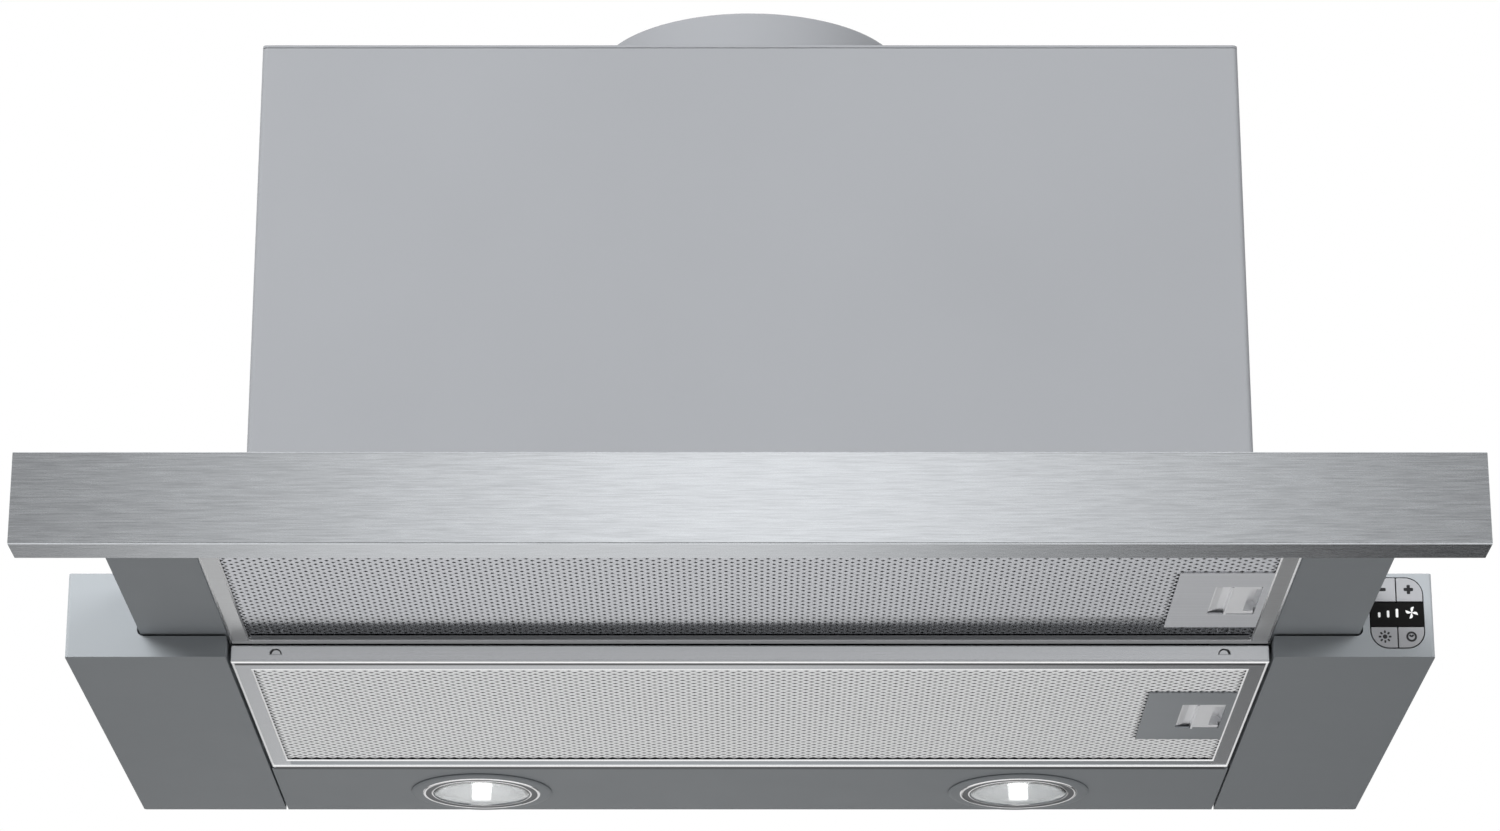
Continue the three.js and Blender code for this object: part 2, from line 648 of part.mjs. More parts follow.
// From the fan's square outlet to the round hole under the collar.
function outletAdapter() {
  const fanY = -FAN_SETBACK;
  const wall = FAN_HOUSING_WALL;
  const x = fanHalf + wall;
  const y0 = fanY + tongueY - wall;
  const y1 = fanY + scrollOuter + wall;
  const z0 = OUTLET_LEVEL + SEAT;
  const z1 = lidBottom - SEAT;
  const steps = 28;
  const square = (shrink, z) => around(steps, (c, s) => {
    const half = [x - shrink, (y1 - y0) / 2 - shrink];
    const reach = Math.min(half[0] / Math.max(Math.abs(c), 1e-9), half[1] / Math.max(Math.abs(s), 1e-9));
    return [c * reach, (y0 + y1) / 2 + s * reach, z];
  });
  const round = (radius, z) => around(steps, (c, s) => [c * radius, -COLLAR_SETBACK + s * radius, z]);
  return ringLoft([
    square(0, z0), square(0, z0 + 4), round(COLLAR_RADIUS, z1 - 6), round(COLLAR_RADIUS, z1),
    round(collarInner, z1), round(collarInner, z1 - 6), square(wall, z0 + 4), square(wall, z0),
  ]);
}

function around(steps, place) {
  const ring = [];
  for (let i = 0; i < steps; i += 1) {
    const angle = (2 * Math.PI * (i + 0.5)) / steps;
    ring.push(place(Math.cos(angle), Math.sin(angle)));
  }
  return ring;
}

// ---------- Mains connection ----------

const glandX = casingHalf - GLAND_INSET;

function cableGland() {
  const foot = CASING_HEIGHT + SEAT;
  return turned([
    [GLAND_BORE, foot - GLAND.tail], [GLAND_HOLE - SEAT, foot - GLAND.tail], [GLAND_HOLE - SEAT, foot],
    [GLAND.flange, foot], [GLAND.flange, foot + 3], [GLAND.nut, foot + 5],
    [GLAND.nut, foot + GLAND.height / 2], [GLAND.neck, foot + GLAND.height],
    [GLAND_BORE, foot + GLAND.height],
  ], 16);
}

// A closed box on the back sheet, under the gland, with a cover that stands proud of its base.
function terminalBox() {
  const { height, depth, left, right, cover, drop } = TERMINAL_BOX;
  const width = [glandX - left, glandX + right];
  const back = -SHEET - SEAT;
  const top = lidBottom - drop;
  const rise = [top - height, top];
  const proud = 2;
  const lid = roundedRect([width[0] - proud, width[1] + proud], [rise[0] - proud, rise[1] + proud], 5);
  return join(
    block(width, [back - depth + cover / 2, back], rise),
    prismY(lid, [back - depth, back - depth + cover]),
  );
}

// ---------- Lamps, drawn about the lamp's axis with z = 0 at the panel's underside ----------

const tubeInner = LAMP_RING_RADIUS - 1;

function lampRing() {
  const proud = LAMP_RING_RADIUS;
  return turned([
    [LENS_RADIUS + 0.4, -1], [tubeInner - 0.8, -1.2], [tubeInner, -1.7], [proud, -1.7], [proud + 0.6, -1.2],
    [LAMP_FLANGE_RADIUS - 0.8, -0.9], [LAMP_FLANGE_RADIUS, -SEAT], [proud + SEAT, -SEAT],
    [proud + SEAT, LAMP_TUBE_HEIGHT], [tubeInner, LAMP_TUBE_HEIGHT], [tubeInner, 2],
    [LENS_RADIUS - 1.3, 2], [LENS_RADIUS - 1.3, 0.8], [LENS_RADIUS + 0.4, 0.8],
  ], 24);
}

function lampLens() {
  return turned([
    [0, -1.3], [LENS_RADIUS / 2, -1.2], [LENS_RADIUS - 0.5, -0.8], [LENS_RADIUS, -0.4], [LENS_RADIUS, 0.5],
    [0, 0.5],
  ], 24);
}

function lampReflector() {
  const rim = tubeInner - SEAT;
  return turned([
    [rim - 1.5, 2.3], [rim, 2.3], [rim, 3.6], [rim - 1.2, 6], [rim - 6.2, REFLECTOR_SHOULDER],
    [REFLECTOR_NECK + 4.8, REFLECTOR_HEIGHT - 1], [REFLECTOR_NECK + 1.3, REFLECTOR_HEIGHT],
    [REFLECTOR_NECK, REFLECTOR_HEIGHT], [REFLECTOR_NECK, REFLECTOR_HEIGHT - REFLECTOR_WALL],
    [REFLECTOR_NECK + 4.3, REFLECTOR_HEIGHT - 1 - REFLECTOR_WALL],
    [rim - 6 - REFLECTOR_WALL, REFLECTOR_SHOULDER - 1], [rim - 1.4 - REFLECTOR_WALL, 5],
  ], 16);
}

// A flat-sided bulb that stands in the reflector's neck.
function lampBulb() {
  const half = [BULB.width / 2, BULB.thickness / 2];
  const flask = roundedRect([-half[0], half[0]], [-half[1], half[1]], BULB.radius);
  return join(
    prismZ(flask, [BULB.bottom, BULB.top]),
    rod(REFLECTOR_NECK - SEAT, [BULB.top - 1, BULB.socket], 12),
  );
}

// ---------- Controls, drawn about the control's centre with y = 0 at the wing's front ----------

// The carrier's collar backs the wing's front and guides the keys. It is open towards the front.
function controlCarrier() {
  const front = SHEET + SEAT;
  const ceiling = deckBottom - SEAT - controlZ;
  const half = CARRIER_WINDOW.map((size) => size / 2);
  return cut(
    prismY(controlOutline(-CARRIER_WALL), [front, CARRIER_DEPTH]),
    block([-CONTROL.width, CONTROL.width], [0, CARRIER_DEPTH + 1], [ceiling, CONTROL.height]),
    prismY(controlOutline(SEAT), [front - 1, CARRIER_DEPTH - SHEET]),
    block([-half[0], half[0]], [CARRIER_DEPTH - SHEET - 1, CARRIER_DEPTH + 1], [-half[1], half[1]]),
  );
}

// A key fills one corner of the outline. Its stem reaches towards its switch on the board.
function button(right, upper) {
  const field = controlOutline(SEAT + 0.2);
  const half = BUTTON_GAP / 2;
  const x = right ? [half, CONTROL.width] : [-CONTROL.width, -half];
  const z = upper ? [DISPLAY_TOP + half, CONTROL.height] : [-CONTROL.height, DISPLAY_BOTTOM - half];
  const face = common(prismY(field, [-0.3, BUTTON_DEPTH]), block(x, [-1, BUTTON_DEPTH + 1], z));
  const middle = buttonMiddle(right, upper);
  const reach = BOARD_SETBACK - SWITCH.height - BUTTON_TRAVEL - SEAT;
  const stem = alongY(rod(STEM_RADIUS, [BUTTON_DEPTH - 0.5, reach], 16));
  return join(face, stem.translate(middle[0], 0, middle[1]));
}

function buttonMiddle(right, upper) {
  const x = (CONTROL.width / 2) * (right ? 0.48 : -0.48);
  const top = (DISPLAY_TOP + CONTROL.height / 2) / 2;
  const bottom = (DISPLAY_BOTTOM - CONTROL.height / 2) / 2;
  return [x, upper ? top : bottom];
}

function displayWindow() {
  const half = CONTROL.width / 2 - SEAT - 0.2;
  const z = [DISPLAY_BOTTOM + BUTTON_GAP / 2, DISPLAY_TOP - BUTTON_GAP / 2];
  return join(
    block([-half, half], [0, 2.2], z),
    block([-half + 2, half - 2], [1, BOARD_SETBACK - SEAT], [z[0] + 1.5, z[1] - 1.5]),
  );
}

function controlBoard() {
  const board = prismY(controlOutline(SEAT + 0.5), [BOARD_SETBACK, BOARD_SETBACK + BOARD_THICKNESS]);
  const half = SWITCH.width / 2;
  const deep = [BOARD_SETBACK - SWITCH.height, BOARD_SETBACK + 0.5];
  const switches = [true, false].flatMap((right) => [true, false].map((upper) => {
    const [x, z] = buttonMiddle(right, upper);
    return block([x - half, x + half], deep, [z - half, z + half]);
  }));
  return join(board, ...switches);
}

// ---------- Visor: panel, arms, tray, runners ----------

function frontPanel() {
  const y = [panelBackY - PANEL_THICKNESS, panelBackY];
  const z = [panelBottom, panelBottom + PANEL_HEIGHT];
  const half = HOOD_WIDTH / 2;
  const outline = roundedRect(y, z, [PANEL_EDGE_RADIUS, 0, 0, PANEL_EDGE_RADIUS]);
  return cut(
    prismX(outline, [-half, half]),
    block([-half + SHEET, half - SHEET], [y[0] + SHEET, y[1] + 1], [z[0] + SHEET, z[1] - SHEET]),
  );
}

// A moulded strip that closes the panel's open back, ribbed towards the panel's face.
function panelBacking() {
  const half = HOOD_WIDTH / 2 - SHEET - SEAT;
  const front = panelBackY - PANEL_THICKNESS + SHEET + SEAT;
  const z = [panelBottom + SHEET + SEAT, panelBottom + PANEL_HEIGHT - SHEET - SEAT];
  const spacing = (2 * half - BACKING_RIB) / (BACKING_RIB_COUNT - 1);
  const ribs = Array.from({ length: BACKING_RIB_COUNT }, (_, i) => {
    const x = -half + i * spacing;
    return block([x, x + BACKING_RIB], [front, panelBackY - BACKING_THICKNESS / 2], z);
  });
  return join(block([-half, half], [panelBackY - BACKING_THICKNESS, panelBackY], z), ...ribs);
}

// An open channel that carries the inner runner on its outer wall.
function visorArm({ tabs = [], boltAt = null }) {
  const hollow = [armInner + SHEET, armOuter - SHEET];
  const channel = cut(
    block([armInner, armOuter], [armFrontY, armBackY], [armBottom, armTop]),
    block(hollow, [armFrontY + SHEET, armBackY + 1], [armBottom + SHEET, armTop + 1]),
  );
  const openings = tabs.map((y) => tabWindow(y, armInner, frontFilterZ));
  if (boltAt !== null) openings.push(boltWindow(boltAt, armInner, frontFilterZ));
  return cut(channel, ...openings);
}

// The visor's closed top, with a turned-down edge at the front and along both arms. A lipped bar joins the
// side edges behind the front filter, and air passes over it into the housing.
function visorTray() {
  const half = armInner - SEAT;
  const across = [-half, half];
  const topZ = [deckBottom - TRAY_DROP - SHEET, deckBottom - TRAY_DROP];
  const filterEnd = frontFilterY + frontFilterDepth;
  const back = filterEnd + TRAY_OVERHANG;
  const barY = [filterEnd + SEAT, filterEnd + SEAT + REAR_BAR.depth];
  const barZ = [frontFilterZ + SEAT, frontFilterZ + REAR_BAR.height];
  const sides = [[-half, -half + SHEET], [half - SHEET, half]].flatMap((x) => [
    block(x, [armFrontY, back], [frontFilterZ + FILTER_HEIGHT + SEAT, topZ[1]]),
    block(x, barY, [barZ[1] - SHEET, topZ[1]]),
  ]);
  return join(
    block(across, [armFrontY, back], topZ),
    block(across, [armFrontY, visorLinerY], [frontFilterZ, topZ[1]]),
    ...sides,
    block(across, [barY[0], barY[0] + SHEET], barZ),
    block(across, barY, [barZ[1] - SHEET, barZ[1]]),
    block(across, [barY[1] - SHEET, barY[1]], [barZ[1] - REAR_BAR.lip, barZ[1]]),
  );
}

const railZ = armBottom + SHEET + RAIL.height / 2 + RAIL_LIFT;
const railOuterX = armOuter - SHEET - SEAT;      // back of the inner rail's web
const railInnerX = railOuterX - RAIL.span;       // back of the outer rail's web
const railBackY = -SHEET - OUTER_RAIL_SETBACK;

// A C-section between x0 and x1 with its web on one side.
function railSection(x0, x1, height, webAtX1) {
  const web = webAtX1 ? [x1 - RAIL.sheet, x1] : [x0, x0 + RAIL.sheet];
  const [a, b] = [railZ - height / 2, railZ + height / 2];
  const open = webAtX1 ? x0 : x1;
  const back = webAtX1 ? web[0] : web[1];
  return polygon([
    [open, a], [webAtX1 ? x1 : x0, a], [webAtX1 ? x1 : x0, b], [open, b],
    [open, b - RAIL.sheet], [back, b - RAIL.sheet], [back, a + RAIL.sheet], [open, a + RAIL.sheet],
  ]);
}

const nestedHeight = (level) => RAIL.height - 2 * level * (RAIL.sheet + RAIL.ballGap);

function outerRail() {
  const section = railSection(railInnerX, railInnerX + RAIL.depth, nestedHeight(0), false);
  return prismY(section, [railBackY - OUTER_RAIL_LENGTH, railBackY]);
}

function middleRail() {
  const x = railInnerX + RAIL.sheet + RAIL.webGap;
  const section = railSection(x, railInnerX + RAIL.depth, nestedHeight(1), false);
  const back = -SHEET - MIDDLE_RAIL_SETBACK - VISOR_TRAVEL / 2;
  return prismY(section, [back - MIDDLE_RAIL_LENGTH, back]);
}

function innerRail() {
  const x = railInnerX + 2 * (RAIL.sheet + RAIL.webGap);
  const back = armBackY - INNER_RAIL_SETBACK;
  return prismY(railSection(x, railOuterX, nestedHeight(2), true), [back - INNER_RAIL_LENGTH, back]);
}

// A hanger from the deck down into the open top of the arm.
function railBracket() {
  const x = railInnerX - SEAT;
  const top = deckBottom - SEAT;
  const foot = x - BRACKET_FOOT;
  const outline = polygon([
    [x - SHEET, railZ - RAIL.height / 2], [x, railZ - RAIL.height / 2], [x, top], [foot, top],
    [foot, top - SHEET], [x - SHEET, top - SHEET],
  ]);
  return prismY(outline, [railBackY - OUTER_RAIL_LENGTH, railBackY]);
}

// ---------- Grease filters, drawn from the middle of the front edge with z = 0 at the underside ----------

// A channel folded round the edge of the pad and mitred at the corners.
function filterFrame({ depth, front, back, latchY, dimples }) {
  const bars = { left: SIDE_BAR, right: SIDE_BAR, front, back };
  const t = FILTER_SHEET;
  const top = FILTER_HEIGHT;
  const level = (inner, inset, z) => {
    const [left, right] = [inner ? bars.left : inset, inner ? bars.right : inset];
    const [near, far] = [inner ? bars.front : inset, inner ? bars.back : inset];
    const x = [-filterHalf + left, filterHalf - right];
    const y = [near, depth - far];
    return [[x[0], y[0], z], [x[1], y[0], z], [x[1], y[1], z], [x[0], y[1], z]];
  };
  const channel = ringLoft([
    level(true, 0, 0), level(false, t, 0), level(false, 0, t), level(false, 0, top - t / 2),
    level(false, t / 2, top), level(true, 0, top), level(true, 0, top - t), level(false, t, top - t),
    level(false, t, t), level(true, 0, t),
  ]);
  const tabs = hingeTabs(depth).map((y) => block(
    [-filterHalf - TAB_REACH, -filterHalf + t / 2], [y - TAB_WIDTH / 2, y + TAB_WIDTH / 2],
    [tabLift, tabLift + TAB_SHEET]));
  const side = BOLT.width / 2 + SEAT;
  const openings = [block([filterHalf - t - 1, filterHalf + 1], [latchY - side, latchY + side],
    [boltLift - SEAT, boltLift + BOLT.height + SEAT])];
  if (dimples) {
    const dimple = prismY(halfMoon(), [-1, t + 0.2]);
    const place = filterHalf - DIMPLE_INSET;
    [-place, place].forEach((x) => openings.push(dimple.clone().translate(x, 0, DIMPLE_LEVEL)));
  }
  return cut(join(channel, ...tabs), ...openings);
}

function halfMoon() {
  const shape = new THREE.Shape();
  shape.absarc(0, 0, DIMPLE_RADIUS, 0, Math.PI, false);
  return shape;
}

const hingeTabs = (depth) => [TAB_INSET, depth - TAB_INSET];

const latchInner = filterHalf - SIDE_BAR - LATCH_REACH;
const latchWallX = latchInner + FILTER_SHEET;
const latchLipX = filterHalf - SIDE_BAR - SEAT;
const latchHalf = LATCH_LENGTH / 2;
const windowX = [filterHalf - SIDE_BAR - 3.5 - LATCH_WINDOW[0], filterHalf - SIDE_BAR - 3.5];

// The pad of stacked expanded metal, with room for the latch at its right edge.
function filterPad({ depth, latchY }) {
  const inset = FILTER_SHEET + SEAT;
  const half = filterHalf - inset;
  const room = latchHalf + SEAT;
  return cut(
    block([-half, half], [inset, depth - inset], [inset, FILTER_HEIGHT - inset]),
    block([latchInner - SEAT, filterHalf], [latchY - room, latchY + room], [0, FILTER_HEIGHT]),
  );
}

// A pressed pan, level with the frame, with the finger window and two guides for the slider.
// The latch's pieces are drawn with y = 0 at the latch's middle.
function latchPlate() {
  const t = FILTER_SHEET;
  const end = filterHalf - t - SEAT;
  const low = [LATCH_LEVEL, LATCH_LEVEL + t];
  const high = [t + SEAT, 2 * t + SEAT];
  const y = [-latchHalf, latchHalf];
  const guideY = LATCH_BLOCK[1] / 2 + LATCH_FLANGE;
  const guides = [-1, 1].flatMap((side) => [
    guideSpan(side, guideY + SEAT, guideY + SEAT + t, [low[0], GUIDE_LEVEL[1]]),
    guideSpan(side, guideY - LATCH_FLANGE + 2 * SEAT, guideY + SEAT + t, GUIDE_LEVEL),
  ]);
  return cut(
    join(
      block([latchInner, latchLipX], y, low),
      block([latchLipX - t, latchLipX], y, [low[0], high[1]]),
      block([latchLipX - t, end], y, high),
      block([latchInner, latchWallX], y, [low[0], PLATE_WALL_TOP]),
      block([latchInner, end], [y[0], y[0] + t], [high[0], PLATE_WALL_TOP]),
      block([latchInner, end], [y[1] - t, y[1]], [high[0], PLATE_WALL_TOP]),
      ...guides,
    ),
    block(windowX, [-LATCH_WINDOW[1] / 2, LATCH_WINDOW[1] / 2], [-1, high[1] + 0.5]),
  );
}

function guideSpan(side, from, to, z) {
  const y = side > 0 ? [from, to] : [-to, -from];
  return block([latchWallX - 0.2, latchLipX], y, z);
}

const sliderX = [filterHalf - 5.5 - LATCH_BLOCK[0], filterHalf - 5.5];

// The slider: a flange under the guides, a grip that fills the window, and the bolt. The grip has, from its
// left, a scoop up to a rib, a flat face, and a slot. A fingertip pushes at the slot's left wall.
function latchHandle() {
  const half = LATCH_BLOCK[1] / 2;
  const wide = half + LATCH_FLANGE;
  const floor = 2 * FILTER_SHEET + 2 * SEAT;              // above the plate's step
  const overPlate = LATCH_LEVEL + FILTER_SHEET + SEAT;
  const roof = boltLift + BOLT.height;
  const ribX = windowX[0] + LATCH_TRAVEL + 1;
  const slotX = [windowX[1] - 0.4 - FINGER_SLOT.width, windowX[1] - 0.4];
  const face = LATCH_LEVEL + 0.2;
  const ribZ = LATCH_LEVEL - GRIP_RIB.drop;
  const grip = prismY(polygon([
    [sliderX[0], roof], [sliderX[0], overPlate], [windowX[0] + 1, overPlate], [ribX, overPlate + GRIP_SCOOP],
    [ribX, ribZ], [ribX + GRIP_RIB.width, ribZ], [ribX + GRIP_RIB.width, face], [slotX[0], face],
    [slotX[1], face], [slotX[1], floor], [sliderX[1], floor], [sliderX[1], roof],
  ]), [-half, half]);
  const slot = prismY(polygon([
    [slotX[0], 0], [slotX[1] + FINGER_SLOT.flare, 0], [slotX[1] + FINGER_SLOT.flare, floor],
    [slotX[1], FINGER_SLOT.roof], [slotX[0], FINGER_SLOT.roof],
  ]), [-FINGER_SLOT.length / 2, FINGER_SLOT.length / 2]);
  return join(
    cut(join(block(sliderX, [-wide, wide], [floor, GUIDE_LEVEL[0] - SEAT]), grip), slot),
    block([sliderX[1] - 2, filterHalf + BOLT.reach], [-BOLT.width / 2, BOLT.width / 2], [boltLift, roof]),
  );
}

// A compression spring between the pan's wall and the slider.
function latchSpring() {
  const x = [latchWallX + SPRING_WIRE / 2 + SEAT, sliderX[0] - SPRING_WIRE / 2 - SEAT];
  const z = 4;
  const stepsPerTurn = 8;
  const sides = 4;
  const steps = SPRING_TURNS * stepsPerTurn;
  const rings = [];
  for (let i = 0; i <= steps; i += 1) {
    const turn = (2 * Math.PI * i) / stepsPerTurn;
    const out = new THREE.Vector3(0, Math.cos(turn), Math.sin(turn));
    const centre = new THREE.Vector3(THREE.MathUtils.lerp(x[0], x[1], i / steps), 0, z)
      .addScaledVector(out, SPRING_RADIUS);
    const ring = [];
    for (let j = 0; j < sides; j += 1) {
      const angle = (-2 * Math.PI * j) / sides;
      ring.push(centre.clone().addScaledVector(out, (SPRING_WIRE / 2) * Math.cos(angle))
        .add(new THREE.Vector3((SPRING_WIRE / 2) * Math.sin(angle), 0, 0)).toArray());
    }
    rings.push(ring);
  }
  return capped(rings);
}

// An open run of rings, closed by a fan at each end.
function capped(rings) {
  const sides = rings[0].length;
  const corners = [];
  for (let i = 0; i < rings.length - 1; i += 1) {
    for (let j = 0; j < sides; j += 1) {
      const k = (j + 1) % sides;
      const [a, b, c, d] = [i * sides + j, i * sides + k, (i + 1) * sides + k, (i + 1) * sides + j];
      corners.push(a, b, c, a, c, d);
    }
  }
  const last = (rings.length - 1) * sides;
  for (let j = 1; j < sides - 1; j += 1) corners.push(0, j + 1, j, last, last + j, last + j + 1);
  const geometry = new THREE.BufferGeometry();
  geometry.setAttribute('position', new THREE.Float32BufferAttribute(rings.flat(2), 3));
  geometry.setIndex(corners);
  return geometry;
}

function filterUnit(name, spec) {
  const latch = group(
    part(`${name}_latch_plate`, latchPlate(), ALUMINIUM),
    part(`${name}_latch_handle`, latchHandle(), GREY_PLASTIC),
    part(`${name}_latch_spring`, latchSpring(), SPRING_STEEL),
  );
  latch.position.y = spec.latchY;
  const unit = group(
    part(`${name}_frame`, filterFrame(spec), ALUMINIUM),
    part(`${name}_mesh`, filterPad(spec), ALUMINIUM),
    latch,
  );
  unit.position.set(0, spec.y, spec.z);
  return unit;
}

// ---------- The hood ----------

const frontFilter = {
  y: frontFilterY, z: frontFilterZ, depth: frontFilterDepth, latchY: FRONT_LATCH_CENTRE,
  front: FRONT_FILTER_FRONT_BAR, back: FRONT_FILTER_BACK_BAR, dimples: false,
};
const rearFilter = {
  y: rearFilterY, z: floorZ, depth: REAR_FILTER_DEPTH, latchY: REAR_LATCH_CENTRE,
  front: REAR_FILTER_FRONT_BAR, back: REAR_FILTER_BACK_BAR, dimples: true,
};
const tabPlaces = (spec) => hingeTabs(spec.depth).map((y) => spec.y + y);
const latchPlace = (spec) => spec.y + spec.latchY;

function housing() {
  return group(
    mirrored(part('left_wing_cover', wingCover({ tabs: tabPlaces(rearFilter) }), GREY_COAT)),
    part('right_wing_cover', wingCover({ boltAt: latchPlace(rearFilter), controls: true }), GREY_COAT),
    part('base_plate', deck(), ZINC),
    part('back_panel', backSheet(), ZINC),
    part('lamp_panel', lampPanel(), GREY_COAT),
    part('casing_body', casingBody(), CASING_GREY),
    part('casing_top', casingLid(), CASING_GREY),
    part('terminal_box', terminalBox(), DARK_PLASTIC),
    cableInlet(),
    mirrored(part('left_rail_bracket', railBracket(), ZINC)),
    part('right_rail_bracket', railBracket(), ZINC),
    mirrored(part('left_outer_rail', outerRail(), SPRING_STEEL)),
    part('right_outer_rail', outerRail(), SPRING_STEEL),
    mirrored(part('left_middle_rail', middleRail(), SPRING_STEEL)),
    part('right_middle_rail', middleRail(), SPRING_STEEL),
  );
}

function cableInlet() {
  const gland = part('cable_gland', cableGland(), DARK_PLASTIC);
  gland.position.set(glandX, -GLAND_SETBACK, 0);
  return gland;
}

function exhaust() {
  const frontFlap = part('front_flap', flap(FRONT_KNUCKLES), DARK_PLASTIC);
  frontFlap.rotation.z = Math.PI;
  const unit = group(
    part('exhaust_collar', exhaustCollar(), CASING_GREY),
    part('flap_pin', flapPin(), SPRING_STEEL),
    part('rear_flap', flap(REAR_KNUCKLES), DARK_PLASTIC),
    frontFlap,
  );
  unit.position.y = -COLLAR_SETBACK;
  return unit;
}

function blower() {
  const unit = group(
    mirrored(part('fan_housing_left', fanHousingHalf(), DARK_PLASTIC)),
    part('fan_housing_right', fanHousingHalf(), DARK_PLASTIC),
    part('fan_motor', fanMotor(), ZINC),
    part('motor_bracket', motorBracket(), ZINC),
    part('impeller_cage', impellerCage(), GREY_PLASTIC),
    part('impeller_hub', impellerHub(), GREY_PLASTIC),
  );
  unit.position.set(0, -FAN_SETBACK, FAN_LEVEL);
  return group(unit, part('outlet_adapter', outletAdapter(), DARK_PLASTIC));
}

function lamp(name, x) {
  const unit = group(
    part(`${name}_lamp_ring`, lampRing(), GREY_COAT),
    part(`${name}_lamp_lens`, lampLens(), LAMP_GLASS),
    part(`${name}_lamp_reflector`, lampReflector(), REFLECTOR),
    part(`${name}_lamp_bulb`, lampBulb(), WARM_WHITE),
  );
  unit.position.set(x, -LAMP_SETBACK, floorZ);
  return unit;
}

function controls() {
  const unit = group(
    part('control_carrier', controlCarrier(), DARK_PLASTIC),
    part('display_window', displayWindow(), BLACK_GLOSS),
    part('control_board', controlBoard(), BOARD_GREEN),
    part('minus_button', button(false, true), GREY_PLASTIC),
    part('plus_button', button(true, true), GREY_PLASTIC),
    part('light_button', button(false, false), GREY_PLASTIC),
    part('timer_button', button(true, false), GREY_PLASTIC),
  );
  unit.position.set(controlX, frontY, controlZ);
  return unit;
}

function visor() {
  return group(
    part('front_panel', frontPanel(), BRUSHED_STEEL),
    part('panel_backing', panelBacking(), DARK_PLASTIC),
    mirrored(part('left_arm', visorArm({ tabs: tabPlaces(frontFilter) }), GREY_COAT)),
    part('right_arm', visorArm({ boltAt: latchPlace(frontFilter) }), GREY_COAT),
    part('visor_tray', visorTray(), ZINC),
    mirrored(part('left_inner_rail', innerRail(), SPRING_STEEL)),
    part('right_inner_rail', innerRail(), SPRING_STEEL),
    filterUnit('front_filter', frontFilter),
  );
}

const hood = group(
  housing(), exhaust(), blower(), lamp('left', -lampX), lamp('right', lampX), controls(),
  filterUnit('rear_filter', rearFilter), visor(),
);

export default hood;
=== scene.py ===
"""Looks of the slim pull-out range hood. Metres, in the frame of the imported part."""

import math

import bmesh
import bpy
import numpy as np
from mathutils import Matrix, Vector
from mathutils.geometry import tessellate_polygon


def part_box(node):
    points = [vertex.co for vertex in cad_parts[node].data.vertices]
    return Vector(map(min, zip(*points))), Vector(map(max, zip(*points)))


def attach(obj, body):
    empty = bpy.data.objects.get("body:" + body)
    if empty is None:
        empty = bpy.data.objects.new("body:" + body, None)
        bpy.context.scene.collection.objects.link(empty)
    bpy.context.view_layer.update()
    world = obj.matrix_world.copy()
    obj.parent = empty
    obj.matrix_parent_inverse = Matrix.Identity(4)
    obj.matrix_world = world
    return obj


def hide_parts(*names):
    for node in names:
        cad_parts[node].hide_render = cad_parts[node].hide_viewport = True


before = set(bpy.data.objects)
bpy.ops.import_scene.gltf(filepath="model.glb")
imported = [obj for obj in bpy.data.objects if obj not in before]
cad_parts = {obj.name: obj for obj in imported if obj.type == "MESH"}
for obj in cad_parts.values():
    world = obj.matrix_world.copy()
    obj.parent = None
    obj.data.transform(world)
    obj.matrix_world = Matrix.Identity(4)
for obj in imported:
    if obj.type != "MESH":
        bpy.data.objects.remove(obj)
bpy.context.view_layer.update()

MM = 0.001

# ---------- Camera ----------

CAMERA_PLACE = (0.0, -2.1231, -0.5743)
CAMERA_PITCH = math.radians(19.56)       # upwards
SENSOR_WIDTH = 36
LENS = 105.94                            # focal length for that sensor
PRINCIPAL_RISE = 22.05 / 1500            # principal point above the middle of the photograph


def make_camera():
    data = bpy.data.cameras.new("photo_camera")
    data.sensor_width = SENSOR_WIDTH
    data.lens = LENS
    data.shift_y = -PRINCIPAL_RISE
    data.clip_start = 0.05
    data.clip_end = 50
    camera = bpy.data.objects.new("photo_camera", data)
    camera.location = CAMERA_PLACE
    camera.rotation_euler = (math.pi / 2 + CAMERA_PITCH, 0, 0)
    bpy.context.scene.collection.objects.link(camera)
    bpy.context.scene.camera = camera


# ---------- Node helpers ----------

